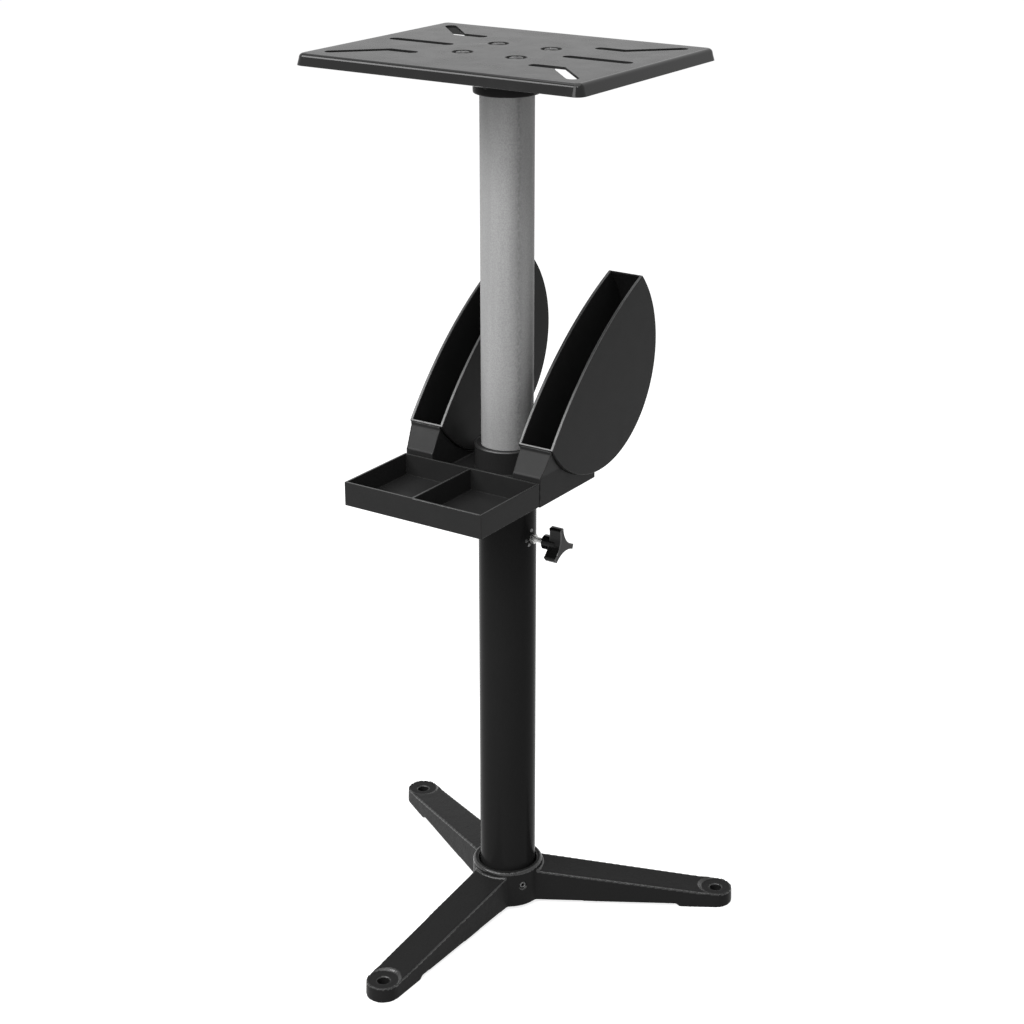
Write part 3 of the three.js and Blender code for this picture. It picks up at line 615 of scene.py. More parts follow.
def oxide(name, colours, low, high):
    """Black oxide that is worn off where a noise lies above a range."""
    material, tree, shader = new_finish(name, Metallic=0.9)
    grain = noise(tree, 800.0, 3.0)
    worn = remapped(tree, noise(tree, 220.0, 5.0), low, high, 0.0, 1.0)
    tint = blended(tree, worn, opaque(colours.steel), opaque(colours.worn))
    tree.links.new(tint, shader.inputs["Base Color"])
    tree.links.new(remapped(tree, grain, 0.3, 0.7, 0.28, 0.46), shader.inputs["Roughness"])
    tree.links.new(bump(tree, grain, 0.10, 0.0002), shader.inputs["Normal"])
    return material


def steel_finish(colours):
    return oxide("worn_oxide", colours, 0.40, 0.65)


def fresh_steel_finish(colours):
    return oxide("fresh_oxide", colours, 0.52, 0.80)


FINISHES = {
    "base_casting": casting_finish,
    "base_casting_slope_shade": casting_slope_shade_finish,
    "flange_casting": casting_finish,
    "black_tube": tube_finish,
    "silver_tube": silver_finish,
    "plate_coat": plate_finish,
    "plate_coat_skirt_shade": plate_skirt_shade_finish,
    "tray_plastic": plastic_finish,
    "tray_plastic_worn": bracket_finish,
    "tray_plastic_ramp": ramp_finish,
    "tray_plastic_rim": rim_finish,
    "knob_plastic": knob_finish,
    "knob_plastic_edge": knob_edge_finish,
    "bush_plastic": bush_finish,
    "zinc_steel": zinc_finish,
    "black_steel": steel_finish,
    "black_steel_fresh": fresh_steel_finish,
}
# The casting's second look is painted shade on its slopes.
CASTING_LOOKS = ("base_casting", "base_casting_slope_shade")
BRACKET_LOOKS = ("tray_plastic_worn", "tray_plastic_ramp")
MOULDED_LOOKS = ("tray_plastic", "tray_plastic_rim")
KNOB_LOOKS = ("knob_plastic", "knob_plastic_edge")
# The plate's second look is a glossier coat with painted shade on its bent rim and skirt.
PLATE_LOOKS = ("plate_coat", "plate_coat_skirt_shade")
made_finishes = {}


def finish(slot):
    maker = FINISHES[slot]
    if maker not in made_finishes:
        made_finishes[maker] = maker(bpy.context.scene.stand_colours)
    return made_finishes[maker]


def wear(piece, looks):
    """Gives a piece its finishes, unless it has them already."""
    if not piece.data.materials:
        for look in looks:
            piece.data.materials.append(finish(look))


def dress(piece, slot, *stands_for, looks=()):
    """Gives a piece its finish and puts it on the body of the solids that it stands for."""
    wear(piece, looks or (slot,))
    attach(piece, nodes[stands_for[0]]["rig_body"])
    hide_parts(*stands_for)
    return piece


def middle(name):
    low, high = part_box(name)
    return (low + high) / 2


# Pieces


def socket_screw(name, solid):
    """A set screw with a hexagon socket, along the line from the column to its middle."""
    sizes = bpy.context.scene.stand_sizes
    centre = middle(solid)
    axis = middle("lower_tube")
    outward = Vector((centre.x - axis.x, centre.y - axis.y, 0)).normalized()
    corners = [outward.dot(vertex.co - centre) for vertex in nodes[solid].data.vertices]
    low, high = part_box(solid)
    radius = (high.z - low.z) / 2
    tip, head = min(corners), max(corners)
    edge = 2 * sizes.fine_edge
    socket = hexagon(radius)
    rings = [
        (radius - edge, tip),
        (radius, tip + edge),
        (radius, head - edge),
        (radius - edge, head),
        (lambda turn: socket(turn) + sizes.fine_edge / 2, head),
        (socket, head - sizes.fine_edge),
        (socket, head - radius),
    ]
    place = Matrix.Translation(centre) @ outward.to_track_quat("Z", "Y").to_matrix().to_4x4()
    piece = turned(name, rings, 48, place)
    return dress(rounded_box(piece, sizes.fine_edge / 3, 2), "black_steel", solid)


def casting(solid, slot, sizes):
    piece = eased_copy(solid, sizes.casting_detail, sizes.casting_rounding)
    return dress(piece, slot, solid, looks=CASTING_LOOKS)


class STAND_OT_base(bpy.types.Operator):
    """Cast base with three legs, and the set screws that hold the column"""

    bl_idname = "stand.base"
    bl_label = "Base casting"

    def execute(self, context):
        casting("tripod_base", "base_casting", context.scene.stand_sizes)
        for number in (1, 2, 3):
            socket_screw(f"hub_screw_{number}", f"base_set_screw_{number}")
        return {"FINISHED"}


def tube(name, solid, sizes):
    low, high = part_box(solid)
    wall = sizes.tube_wall
    outer = (high.x - low.x) / 2
    profile = [(outer - wall, low.z), (outer, low.z), (outer, high.z), (outer - wall, high.z)]
    rings = fillet(profile, sizes.tube_edge)
    centre = (low + high) / 2
    return turned(name, rings, 128, Matrix.Translation((centre.x, centre.y, 0)), looped=True)


class STAND_OT_column(bpy.types.Operator):
    """Lower tube, sliding upper tube and its guide bush"""

    bl_idname = "stand.column"
    bl_label = "Column tubes"

    def execute(self, context):
        sizes = context.scene.stand_sizes
        outer = tube("outer_column", "lower_tube", sizes)
        stud_low, stud_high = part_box("lock_stud")
        bore = (stud_high.z - stud_low.z) / 2 + THREAD_PLAY
        hole = turned("stud_hole", [(bore, 0), (bore, stud_high.x)], 32, along_x("lock_stud"))
        dress(even_shading(combined(outer, hole, "DIFFERENCE")), "black_tube", "lower_tube")
        dress(even_shading(tube("inner_column", "upper_tube", sizes)), "silver_tube", "upper_tube")
        bush = nodes["guide_bush"]
        bush.data.materials.clear()
        bush.data.materials.append(finish("bush_plastic"))
        rounded_box(bush, sizes.fine_edge, 2)
        return {"FINISHED"}


def along_x(solid):
    """A place whose Z axis runs out along X, at the height and depth of a solid."""
    centre = middle(solid)
    return Matrix.Translation((0, centre.y, centre.z)) @ Matrix.Rotation(RIGHT_ANGLE, 4, "Y")


def clamp_nut(sizes):
    low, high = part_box("clamp_nut")
    stud_low, stud_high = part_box("lock_stud")
    tube_low, tube_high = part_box("lower_tube")
    tube_radius = (tube_high.x - tube_low.x) / 2
    width = high.z - low.z
    hexagonal = hexagon(width, RIGHT_ANGLE)
    flat = NUT_FACE * width / 2
    bore = (stud_high.z - stud_low.z) / 2 + THREAD_PLAY

    def on_tube(radius):
        return lambda turn: math.sqrt(tube_radius ** 2 - (at_angle(radius, turn) * math.sin(turn)) ** 2)

    def chamfer(turn):
        return high.x - (hexagonal(turn) - flat) * math.tan(NUT_CHAMFER)

    rings = [
        (hexagonal, on_tube(hexagonal)),
        (hexagonal, chamfer),
        (flat, high.x),
        (bore, high.x),
        (bore, on_tube(bore)),
    ]
    piece = turned("weld_nut", rings, 48, along_x("clamp_nut"), looped=True)
    return dress(rounded_box(piece, sizes.fine_edge / 2, 2), "zinc_steel", "clamp_nut")


def weld_bead(number, around, up, sizes):
    """A lumpy bead of weld on the lower tube, away from the nut's axis towards the front and up."""
    low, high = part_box("lower_tube")
    tube_radius = (high.x - low.x) / 2
    turn = -around / tube_radius
    outward = Vector((math.cos(turn), math.sin(turn), 0))
    axis = middle("lower_tube")
    foot = Vector((axis.x, axis.y, middle("clamp_nut").z + up)) + outward * (tube_radius - sizes.weld_height)
    place = Matrix.Translation(foot) @ outward.to_track_quat("Z", "Y").to_matrix().to_4x4()

    def lumpy(radius):
        return lambda turn: radius * (1 + WELD_LUMPS * math.sin(3 * turn + number))

    rings = []
    levels = 8
    for level in range(levels):
        rise = RIGHT_ANGLE * level / levels
        along = 2 * sizes.weld_height * math.sin(rise)
        rings.append((lumpy(sizes.weld_radius * math.cos(rise)), along))
    return dress(turned(f"weld_bead_{number}", rings, 32, place), "black_steel", "clamp_nut")


def lock_stud(sizes):
    low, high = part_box("lock_stud")
    radius = (high.z - low.z) / 2
    steps = 24
    per_turn = 8
    count = int((high.x - low.x) / sizes.stud_pitch * per_turn)
    rings = []
    for index in range(count + 1):
        along = low.x + (high.x - low.x) * index / count
        lead_in = max(0.0, 1 - index / per_turn) * radius / 3

        def thread(turn, along=along, lead_in=lead_in):
            wave = (along / sizes.stud_pitch - turn / FULL_TURN) % 1
            return radius - lead_in - sizes.stud_depth * min(1, abs(2 * wave - 1) * 1.3)

        rings.append((thread, along))
    piece = turned("threaded_stud", rings, steps, along_x("lock_stud"))
    return dress(piece, "zinc_steel", "lock_stud")


def star_outline(sizes, steps=14):
    """Three arms with narrow tips, joined by hollow curves."""
    third = FULL_TURN / 3
    half_tip = math.asin(sizes.knob_tip / 2 / sizes.knob_reach)

    def spot(radius, turn):
        return Vector((radius * math.cos(turn), radius * math.sin(turn)))

    outline = []
    for arm in range(3):
        heading = sizes.knob_turn + arm * third
        start = spot(sizes.knob_reach, heading + half_tip)
        pull = spot(sizes.knob_valley, heading + third / 2)
        end = spot(sizes.knob_reach, heading + third - half_tip)
        for step in range(steps + 1):
            reach = step / steps
            outline.append((1 - reach) ** 2 * start + 2 * reach * (1 - reach) * pull + reach ** 2 * end)
    return outline


def inset(outline, depth):
    """A closed outline that runs anticlockwise, moved inwards."""
    moved = []
    count = len(outline)
    for index in range(count):
        along = (outline[(index + 1) % count] - outline[index - 1]).normalized()
        moved.append(outline[index] + depth * Vector((-along.y, along.x)))
    return moved


def rounded_prism(name, outline, bottom, top, edge, place, steps=4):
    """A prism with rounded ends. Its roundings have the second look."""
    shell = bmesh.new()
    levels = []
    for step in range(steps + 1):
        turn = RIGHT_ANGLE * step / steps
        levels.append((edge * (1 - math.sin(turn)), bottom + edge * (1 - math.cos(turn))))
    levels += [(depth, bottom + top - along) for depth, along in reversed(levels)]
    loops = []
    for depth, along in levels:
        loops.append([shell.verts.new(place @ Vector((x, y, along))) for x, y in inset(outline, depth)])
    for index, (lower, upper) in enumerate(zip(loops, loops[1:])):
        first = len(shell.faces)
        join_rings(shell, lower, upper)
        if index != steps:
            for face in list(shell.faces)[first:]:
                face.material_index = 1
    shell.faces.new(reversed(loops[0]))
    shell.faces.new(loops[-1])
    bmesh.ops.recalc_face_normals(shell, faces=shell.faces)
    return object_from(name, shell)


def lock_knob(sizes):
    low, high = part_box("lock_knob")
    stud_low, stud_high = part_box("lock_stud")
    centre = middle("lock_stud")
    bore = (stud_high.z - stud_low.z) / 2 + THREAD_PLAY
    arms_back = high.x - sizes.knob_arms
    place = Matrix.Translation((0, centre.y, centre.z)) @ Matrix(
        ((0, 0, 1, 0), (1, 0, 0, 0), (0, 1, 0, 0), (0, 0, 0, 1))
    )
    star = rounded_prism("star_knob", star_outline(sizes), arms_back, high.x, sizes.knob_edge, place)
    wear(star, KNOB_LOOKS)
    edge = sizes.knob_edge
    boss_rings = [
        (sizes.knob_boss - edge, low.x),
        (sizes.knob_boss, low.x + edge),
        (sizes.knob_boss, arms_back + sizes.knob_arms / 2),
    ]
    combined(star, turned("knob_boss", boss_rings, 64, place), "UNION")
    hole = turned("knob_hole", [(bore, low.x - bore), (bore, stud_high.x + SEAT_PLAY)], 32, place)
    combined(star, hole, "DIFFERENCE")
    return dress(even_shading(star), "knob_plastic", "lock_knob", looks=KNOB_LOOKS)


class STAND_OT_lock(bpy.types.Operator):
    """Height lock: weld nut, threaded stud and three-armed knob"""

    bl_idname = "stand.lock"
    bl_label = "Height lock"

    def execute(self, context):
        sizes = context.scene.stand_sizes
        clamp_nut(sizes)
        for number, (around, up) in enumerate(WELD_SPOTS, 1):
            weld_bead(number, around, up, sizes)
        lock_stud(sizes)
        lock_knob(sizes)
        return {"FINISHED"}


def slot_outline(path, half, steps=10):
    """A slot of even width round a path, with round ends."""
    points = [Vector(point) for point in path]
    outline = []
    for line in (points, points[::-1]):
        headings = [(after - before).normalized() for before, after in zip(line, line[1:])]
        sides = [Vector((heading.y, -heading.x)) for heading in headings]
        for index, side in enumerate(sides):
            if index:
                previous = sides[index - 1]
                bend = previous + side
                outline.append(line[index] + bend * (half * 2 / bend.length_squared))
            else:
                outline.append(line[0] + side * half)
        end = line[-1]
        side = sides[-1]
        along = headings[-1]
        for step in range(steps):
            turn = HALF_TURN * step / steps
            outline.append(end + (side * math.cos(turn) + along * math.sin(turn)) * half)
    return outline


def plate_slots(sizes):
    outlines = []
    half = sizes.slot_width / 2
    for side_x in (-1, 1):
        straight = [(side_x * sizes.slot_inner_end, 0), (side_x * sizes.slot_outer_end, 0)]
        outlines.append(slot_outline(straight, half))
        for side_y in (-1, 1):
            dog_leg = [
                (side_x * sizes.slot_inner_end, side_y * sizes.dog_leg_side),
                (side_x * sizes.dog_leg_knee, side_y * sizes.dog_leg_side),
                (side_x * sizes.dog_leg_corner_x, side_y * sizes.dog_leg_corner_y),
            ]
            outlines.append(slot_outline(dog_leg, half))
    return outlines


def rounded_rectangle(half_x, half_y, radius, steps=8):
    corners = [(half_x, half_y), (-half_x, half_y), (-half_x, -half_y), (half_x, -half_y)]
    return fillet(corners, radius, steps)


def top_plate(sizes):
    """A pressed sheet: flat top with slots and dimples, and a rim that is bent down."""
    low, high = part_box("top_plate")
    centre = (low + high) / 2
    half_x = (high.x - low.x) / 2
    half_y = (high.y - low.y) / 2
    shell = bmesh.new()

    def add_loop(outline, height):
        return [shell.verts.new((centre.x + x, centre.y + y, height)) for x, y in outline]

    def add_edges(loop):
        return [shell.edges.new((loop[index - 1], loop[index])) for index in range(len(loop))]

    def circle(place, radius, steps=40):
        turns = [FULL_TURN * step / steps for step in range(steps)]
        return [(place.x + radius * math.cos(turn), place.y + radius * math.sin(turn)) for turn in turns]

    bends = 6
    rim = []
    for step in range(bends + 1):
        turn = RIGHT_ANGLE * step / bends
        draw = sizes.plate_edge * (1 - math.sin(turn)) + sizes.plate_flare
        drop = sizes.plate_edge * (1 - math.cos(turn))
        outline = rounded_rectangle(half_x - draw, half_y - draw, sizes.plate_corner - draw)
        rim.append(add_loop(outline, high.z - drop))
    rim.append(add_loop(rounded_rectangle(half_x, half_y, sizes.plate_corner), low.z))
    edges = add_edges(rim[0])
    for outline in plate_slots(sizes):
        edges += add_edges(add_loop(outline, high.z))
    dimples = []
    sinks = 6
    for number in (1, 2, 3, 4):
        place = middle(f"plate_screw_{number}") - centre
        rings = []
        for step in range(sinks + 1):
            reach = step / sinks
            radius = sizes.dimple_radius + (sizes.dimple_floor - sizes.dimple_radius) * reach
            drop = sizes.dimple_depth * (1 - math.cos(HALF_TURN * reach)) / 2
            rings.append(add_loop(circle(place, radius), high.z - drop))
        rings.append(add_loop(circle(place, sizes.screw_hole), high.z - sizes.dimple_depth))
        edges += add_edges(rings[0])
        dimples.append(rings)
    bmesh.ops.triangle_fill(shell, use_beauty=True, edges=edges, normal=(0, 0, 1))
    flat_faces = len(shell.faces)
    for upper, lower in zip(rim, rim[1:]):
        join_rings(shell, lower, upper)
    # The bent rim and skirt take the plate's second look: a glossier coat, painted darker as shade.
    for face in list(shell.faces)[flat_faces:]:
        face.material_index = 1
    for rings in dimples:
        for outer, inner in zip(rings, rings[1:]):
            join_rings(shell, outer, inner)
    for face in shell.faces:
        face.normal_update()
    flipped = [face for face in shell.faces if face.normal.z < -0.001]
    bmesh.ops.reverse_faces(shell, faces=flipped)
    piece = object_from("pressed_plate", shell)
    thickened(piece, sizes.plate_sheet)
    rounded_box(piece, sizes.fine_edge, 2)
    return dress(even_shading(piece), "plate_coat", "top_plate", looks=PLATE_LOOKS)


class STAND_OT_plate(bpy.types.Operator):
    """Pressed top plate with slots and screw dimples"""

    bl_idname = "stand.plate"
    bl_label = "Top plate"

    def execute(self, context):
        top_plate(context.scene.stand_sizes)
        return {"FINISHED"}


class STAND_OT_flange(bpy.types.Operator):
    """Cast flange under the plate, and the set screw that holds it on the tube"""

    bl_idname = "stand.flange"
    bl_label = "Top flange"

    def execute(self, context):
        casting("top_flange", "flange_casting", context.scene.stand_sizes)
        socket_screw("flange_screw", "flange_set_screw")
        return {"FINISHED"}


def pan_screw(number, sizes):
    """A domed screw with a cross recess, its shank down through the nut."""
    solid = f"plate_screw_{number}"
    low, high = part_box(solid)
    centre = (low + high) / 2
    head = (high.x - low.x) / 2
    shank = sizes.screw_hole - SEAT_PLAY
    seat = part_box("top_plate")[1].z - sizes.dimple_depth + SEAT_PLAY
    dome = high.z - seat
    arm = head * RECESS_ARM
    half_slot = head * RECESS_WIDTH
    recess = dome * RECESS_DEPTH

    def crown(radius):
        def height(turn):
            x = abs(radius * math.cos(turn))
            y = abs(radius * math.sin(turn))
            inside = min(arm - max(x, y), half_slot - min(x, y)) / (half_slot / 2)
            sink = recess * max(0.0, min(1.0, inside))
            return high.z - dome * CROWN_DROP * (radius / head) ** 4 - sink

        return height

    rings = [
        (shank - sizes.fine_edge, low.z),
        (shank, low.z + sizes.fine_edge),
        (shank, seat),
        (head - sizes.fine_edge, seat),
        (head, seat + sizes.fine_edge),
    ]
    levels = 22
    for level in range(levels):
        radius = head * (1 - level / levels)
        rings.append((radius, crown(radius)))
    piece = turned(f"pan_screw_{number}", rings, 72, Matrix.Translation((centre.x, centre.y, 0)))
    return dress(piece, "black_steel", solid, looks=("black_steel_fresh",))


def plain_washer(number, sizes):
    solid = f"plate_washer_{number}"
    low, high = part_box(solid)
    outer = (high.x - low.x) / 2
    profile = [
        (sizes.screw_hole, low.z),
        (outer, low.z),
        (outer, high.z),
        (sizes.screw_hole, high.z),
    ]
    centre = (low + high) / 2
    rings = fillet(profile, sizes.fine_edge / 2, 3)
    place = Matrix.Translation((centre.x, centre.y, 0))
    return dress(turned(f"washer_{number}", rings, 64, place, looped=True), "zinc_steel", solid)


def hexagon_nut(number, sizes):
    solid = f"plate_nut_{number}"
    low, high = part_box(solid)
    width = min(high.x - low.x, high.y - low.y)
    hexagonal = hexagon(width)
    flat = NUT_FACE * width / 2
    slope = math.tan(NUT_CHAMFER)
    bore = sizes.screw_hole
    rings = [
        (bore, low.z),
        (flat, low.z),
        (hexagonal, lambda turn: low.z + (hexagonal(turn) - flat) * slope),
        (hexagonal, lambda turn: high.z - (hexagonal(turn) - flat) * slope),
        (flat, high.z),
        (bore, high.z),
    ]
    centre = (low + high) / 2
    place = Matrix.Translation((centre.x, centre.y, 0))
    piece = turned(f"hexagon_nut_{number}", rings, 48, place, looped=True)
    return dress(rounded_box(piece, sizes.fine_edge / 2, 2), "zinc_steel", solid)


class STAND_OT_fasteners(bpy.types.Operator):
    """Screws, washers and nuts that hold the plate on its flange"""

    bl_idname = "stand.fasteners"
    bl_label = "Plate fasteners"

    def execute(self, context):
        sizes = context.scene.stand_sizes
        for number in (1, 2, 3, 4):
            pan_screw(number, sizes)
            plain_washer(number, sizes)
            hexagon_nut(number, sizes)
        return {"FINISHED"}


def collar_bead(sizes):
    """The polished, rounded upper edge of the collar, a little proud of it."""
    axis = middle("lower_tube")
    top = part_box("lower_tube")[1].z + sizes.collar_rise
    reach = sizes.collar_radius - sizes.collar_round
    bead = sizes.collar_round + THREAD_PLAY
    steps = 20
    turns = [FULL_TURN * step / steps for step in range(steps)]
    rings = [
        (reach + bead * math.cos(turn), top - sizes.collar_round + bead * math.sin(turn)) for turn in turns
    ]
    piece = turned("collar_bead", rings, 96, Matrix.Translation((axis.x, axis.y, 0)), looped=True)
    return dress(piece, "tray_plastic", "tray_bracket", looks=("tray_plastic_rim",))


class STAND_OT_bracket(bpy.types.Operator):
    """Moulded bracket with collar, deck, ramps and cradles"""

    bl_idname = "stand.bracket"
    bl_label = "Tray bracket"

    def execute(self, context):
        sizes = context.scene.stand_sizes
        bracket = eased_copy("tray_bracket", sizes.moulding_detail, sizes.moulding_rounding)
        dress(bracket, "tray_plastic", "tray_bracket", looks=BRACKET_LOOKS)
        collar_bead(sizes)
        return {"FINISHED"}


def pocket_arcs(sizes, back):
    """The round back of a given radius and the bowed rim that closes it, as depth and height from its centre."""
    heading = RIGHT_ANGLE + sizes.mouth_lean
    offset = sizes.mouth_radius - sizes.mouth_reach
    chord = (sizes.mouth_radius ** 2 - back ** 2 - offset ** 2) / (2 * offset)
    half_turn = math.acos(chord / back)
    rim_turn = math.asin(back * math.sin(half_turn) / sizes.mouth_radius)
    rim_centre = -offset * Vector((math.cos(heading), math.sin(heading)))

    def arc(about, radius, start, end, steps):
        turns = [start + (end - start) * step / steps for step in range(steps + 1)]
        return [about + radius * Vector((math.cos(turn), math.sin(turn))) for turn in turns]

    round_back = arc(Vector((0, 0)), back, heading + half_turn, heading - half_turn + FULL_TURN, 72)
    rim = arc(rim_centre, sizes.mouth_radius, heading - rim_turn, heading + rim_turn, 32)
    return round_back, rim[1:-1]


def wheel_pocket(side, sizes):
    """A flat-sided pocket with a thin round back and an open, leaning mouth."""
    solid = f"wheel_pocket_{side}"
    low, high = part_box(solid)
    round_back, rim = pocket_arcs(sizes, sizes.pocket_radius)
    centre = Vector((middle("lower_tube").y + sizes.pocket_behind, high.z - round_back[-1].y))
    back_count = len(round_back)
    shell = bmesh.new()

    def add_loop(x, back):
        return [shell.verts.new((x, *(centre + point))) for arc in pocket_arcs(sizes, back) for point in arc]

    room = sizes.pocket_radius - sizes.pocket_back
    wall = sizes.pocket_wall
    outer_low, outer_high = (add_loop(x, sizes.pocket_radius) for x in (low.x, high.x))
    inner_low, inner_high = (add_loop(x, room) for x in (low.x + wall, high.x - wall))
    for loop in (outer_low, outer_high, inner_low, inner_high):
        shell.faces.new(loop)
    for first, second in ((outer_low, outer_high), (inner_low, inner_high)):
        for index in range(back_count - 1):
            shell.faces.new((first[index], first[index + 1], second[index + 1], second[index]))
    rim_faces = []
    for outer, inner in ((outer_low, inner_low), (outer_high, inner_high)):
        outer_rim = [*outer[back_count - 1:], outer[0]]
        inner_rim = [*inner[back_count - 1:], inner[0]]
        for index in range(len(outer_rim) - 1):
            after = index + 1
            corners = (outer_rim[index], outer_rim[after], inner_rim[after], inner_rim[index])
            rim_faces.append(shell.faces.new(corners))
    for end in (0, back_count - 1):
        bridge = shell.faces.new((outer_low[end], outer_high[end], inner_high[end], inner_low[end]))
        if end == 0:
            rim_faces.append(bridge)
    for face in rim_faces:
        face.material_index = 1
    bmesh.ops.recalc_face_normals(shell, faces=shell.faces)
    piece = rounded_box(object_from(f"pocket_{side}", shell), sizes.pocket_edge)
    return dress(even_shading(piece), "tray_plastic", solid, looks=MOULDED_LOOKS)


class STAND_OT_pockets(bpy.types.Operator):
    """Two pockets for spare grinding wheels"""

    bl_idname = "stand.pockets"
    bl_label = "Wheel pockets"

    def execute(self, context):
        sizes = context.scene.stand_sizes
        wheel_pocket("left", sizes)
        wheel_pocket("right", sizes)
        return {"FINISHED"}


def stepped_box(name, edges_x, edges_y, bottom, heights):
    """A solid on a grid of cells, each with its own height, as heights[x][y]. Its rim has the second look."""
    shell = bmesh.new()
    levels = sorted({bottom, *(height for column in heights for height in column)})

    def add_face(*points):
        return shell.faces.new([shell.verts.new(point) for point in points])

    def height_at(column, row):
        inside = 0 <= column < len(heights) and 0 <= row < len(heights[0])
        return heights[column][row] if inside else bottom

    def add_wall(first, second, one_side, other_side):
        below, above = sorted((one_side, other_side))
        for floor, roof in zip(levels, levels[1:]):
            if below <= floor and roof <= above:
                add_face((*first, floor), (*second, floor), (*second, roof), (*first, roof))

    for column, (left, right) in enumerate(zip(edges_x, edges_x[1:])):
        for row, (front, back) in enumerate(zip(edges_y, edges_y[1:])):
            corners = ((left, front), (right, front), (right, back), (left, back))
            roof = heights[column][row]
            add_face(*((x, y, roof) for x, y in corners)).material_index = int(roof == levels[-1])
            add_face(*((x, y, bottom) for x, y in reversed(corners)))
    for column in range(len(edges_x)):
        for row, (front, back) in enumerate(zip(edges_y, edges_y[1:])):
            x = edges_x[column]
            add_wall((x, front), (x, back), height_at(column - 1, row), height_at(column, row))
    for row in range(len(edges_y)):
        for column, (left, right) in enumerate(zip(edges_x, edges_x[1:])):
            y = edges_y[row]
            add_wall((left, y), (right, y), height_at(column, row - 1), height_at(column, row))
    bmesh.ops.remove_doubles(shell, verts=shell.verts, dist=SEAT_PLAY / 10)
    bmesh.ops.recalc_face_normals(shell, faces=shell.faces)
    return object_from(name, shell)


def parts_tray(sizes):
    """A shallow open box with one divider, and the tongues that hang it in the bracket."""
    low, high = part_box("parts_tray")
    back = high.y - sizes.tongue_reach
    wall = sizes.tray_wall
    centre = (low.x + high.x) / 2
    floor = low.z + wall
    rim = high.z
    wall_column = [rim, rim, rim]
    room_column = [rim, floor, rim]
    columns = [wall_column, room_column, wall_column, room_column, wall_column]
    edges_x = [low.x, low.x + wall, centre - wall / 2, centre + wall / 2, high.x - wall, high.x]
    edges_y = [low.y, low.y + wall, back - wall, back]
    tray = stepped_box("tray_box", edges_x, edges_y, low.z, columns)
    rounded_box(tray, sizes.tray_edge)
    dress(tray, "tray_plastic", "parts_tray", looks=MOULDED_LOOKS)
    for name, sense in (("left", -1), ("right", 1)):
        place = centre + sense * sizes.tongue_spread / 2
        width = sizes.tongue_width / 2
        spans = [place - width, place + width], [back - wall / 2, high.y]
        tongue = stepped_box(f"tray_tongue_{name}", *spans, floor, [[floor + wall]])
        dress(rounded_box(tongue, sizes.tray_edge), "tray_plastic", "parts_tray")


class STAND_OT_tray(bpy.types.Operator):
    """Parts tray that hangs on the bracket's front"""

    bl_idname = "stand.tray"
    bl_label = "Parts tray"

    def execute(self, context):
        parts_tray(context.scene.stand_sizes)
        return {"FINISHED"}


def lamp(name, power, azimuth, elevation, distance, width, height):
    """A soft lamp that looks at the middle of the stand."""
    light = bpy.data.lights.new(name, "AREA")
    light.shape = "RECTANGLE"
    light.size = width
    light.size_y = height
    light.energy = power
    source = add_object(name, light)
    aim = (cad_box[0] + cad_box[1]) / 2
    turn = math.radians(azimuth)
    rise = math.radians(elevation)
    towards = Vector((math.sin(turn) * math.cos(rise), -math.cos(turn) * math.cos(rise), math.sin(rise)))
    source.location = aim + towards * distance
    source.rotation_euler = towards.to_track_quat("Z", "Y").to_euler()


def seen_rays(tree):
    """1 for what the camera sees directly, in a mirror or through glass."""
    path = node(tree, "ShaderNodeLightPath", {})
    direct = node(tree, "ShaderNodeMath", {}, operation="MAXIMUM")
    tree.links.new(path.outputs["Is Camera Ray"], direct.inputs[0])
    tree.links.new(path.outputs["Is Glossy Ray"], direct.inputs[1])
    every = node(tree, "ShaderNodeMath", {}, operation="MAXIMUM")
    tree.links.new(direct.outputs["Value"], every.inputs[0])
    tree.links.new(path.outputs["Is Transmission Ray"], every.inputs[1])
    return every.outputs["Value"]


def studio_floor(stage, colours):
    shell = bmesh.new()
    bmesh.ops.create_grid(shell, x_segments=8, y_segments=8, size=20)
    floor = object_from("studio_floor", shell)
    material, tree, shader = new_finish("floor_paint", Roughness=0.9, Specular_IOR_Level=0.0)
    shader.inputs["Base Color"].default_value = opaque(colours.floor)
    shader.inputs["Emission Color"].default_value = (1, 1, 1, 1)
    glow = remapped(tree, seen_rays(tree), 0.0, 1.0, 0.0, stage.glow)
    tree.links.new(glow, shader.inputs["Emission Strength"])
    floor.data.materials.append(material)


def studio_world(stage):
    world = bpy.data.worlds.new("studio")
    world.use_nodes = True
    bpy.context.scene.world = world
    tree = world.node_tree
    background = tree.nodes["Background"]
    background.inputs["Color"].default_value = (1, 1, 1, 1)
    strength = remapped(tree, seen_rays(tree), 0.0, 1.0, stage.ambient, 1.0)
    tree.links.new(strength, background.inputs["Strength"])


def studio_camera(stage):
    data = bpy.data.cameras.new("camera")
    data.lens = stage.lens
    data.sensor_width = FILM_WIDTH
    camera = add_object("camera", data)
    camera.rotation_mode = "XYZ"
    camera.location = stage.eye
    turn = Matrix.Rotation(stage.azimuth, 4, "Z")
    tilt = Matrix.Rotation(RIGHT_ANGLE - stage.pitch, 4, "X")
    camera.rotation_euler = (turn @ tilt).to_euler()
    bpy.context.scene.camera = camera


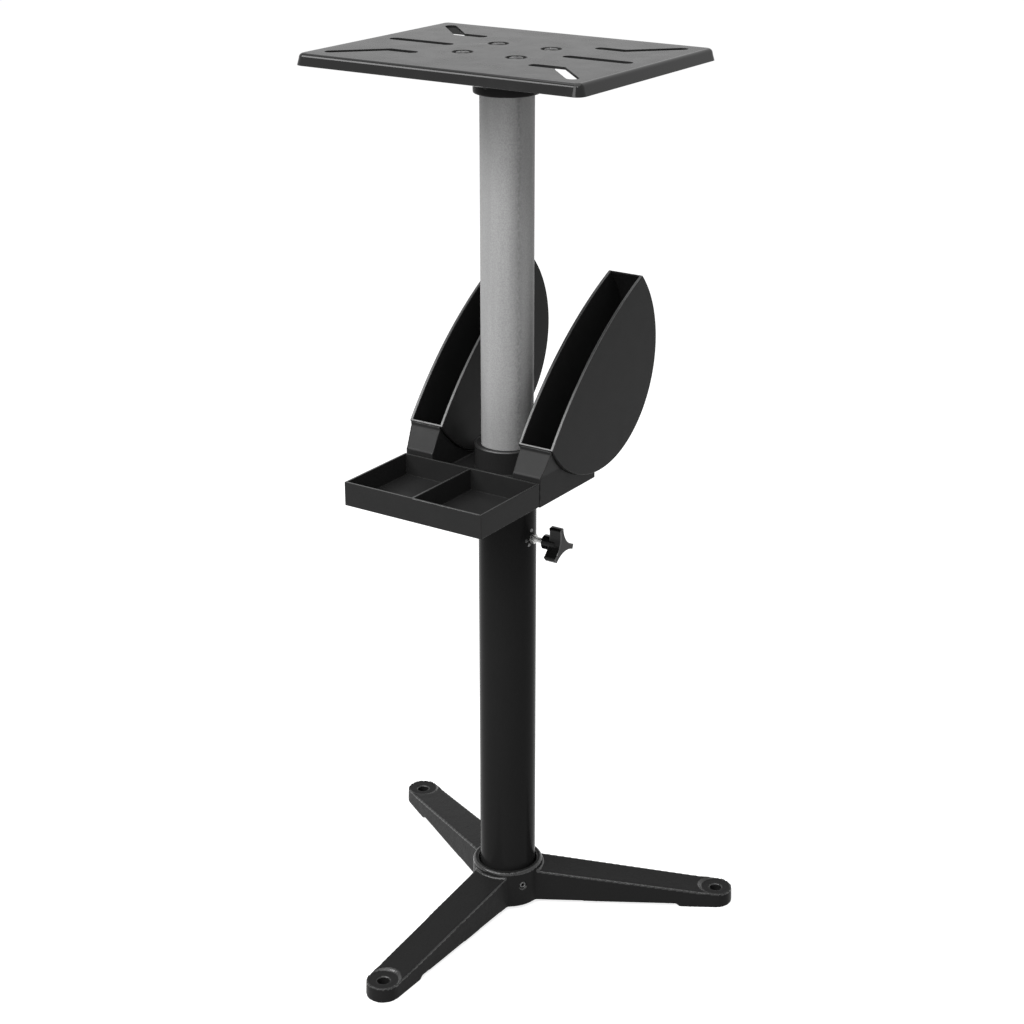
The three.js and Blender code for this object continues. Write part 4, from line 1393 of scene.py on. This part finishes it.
class STAND_OT_stage(bpy.types.Operator):
    """Floor, lamps, world and camera"""

    bl_idname = "stand.stage"
    bl_label = "Studio stage"

    def execute(self, context):
        stage = context.scene.stand_stage
        studio_floor(stage, context.scene.stand_colours)
        studio_world(stage)
        lamp("key_lamp", stage.key, azimuth=-6, elevation=38, distance=3.2, width=1.8, height=2.2)
        lamp("side_lamp", stage.side, azimuth=-44, elevation=41, distance=2.8, width=1.1, height=1.0)
        lamp("fill_lamp", stage.fill, azimuth=34, elevation=49, distance=3.0, width=0.7, height=0.6)
        lamp("top_lamp", stage.top, azimuth=20, elevation=86, distance=2.6, width=2.4, height=2.4)
        studio_camera(stage)
        context.scene.view_settings.view_transform = "Standard"
        return {"FINISHED"}


class STAND_PT_panel(bpy.types.Panel):
    """Lists the pieces of the stand"""

    bl_label = "Bench grinder stand"
    bl_idname = "STAND_PT_panel"
    bl_space_type = "VIEW_3D"
    bl_region_type = "UI"
    bl_category = "Stand"

    def draw(self, context):
        for operator in OPERATORS:
            self.layout.operator(operator.bl_idname)
        for group in (context.scene.stand_sizes, context.scene.stand_colours, context.scene.stand_stage):
            for title in group.bl_rna.properties.keys():
                if title not in ("rna_type", "name"):
                    self.layout.prop(group, title)


OPERATORS = (
    STAND_OT_base,
    STAND_OT_column,
    STAND_OT_lock,
    STAND_OT_flange,
    STAND_OT_plate,
    STAND_OT_fasteners,
    STAND_OT_bracket,
    STAND_OT_pockets,
    STAND_OT_tray,
    STAND_OT_stage,
)
CLASSES = (StandSizes, StandColours, StandStage, *OPERATORS, STAND_PT_panel)


def register():
    for item in CLASSES:
        bpy.utils.register_class(item)
    bpy.types.Scene.stand_sizes = PointerProperty(type=StandSizes)
    bpy.types.Scene.stand_colours = PointerProperty(type=StandColours)
    bpy.types.Scene.stand_stage = PointerProperty(type=StandStage)


def unregister():
    del bpy.types.Scene.stand_stage
    del bpy.types.Scene.stand_colours
    del bpy.types.Scene.stand_sizes
    for item in reversed(CLASSES):
        bpy.utils.unregister_class(item)


def main():
    register()
    bpy.ops.stand.base()
    bpy.ops.stand.column()
    bpy.ops.stand.lock()
    bpy.ops.stand.flange()
    bpy.ops.stand.plate()
    bpy.ops.stand.fasteners()
    bpy.ops.stand.bracket()
    bpy.ops.stand.pockets()
    bpy.ops.stand.tray()
    bpy.ops.stand.stage()


if __name__ == "__main__":
    main()
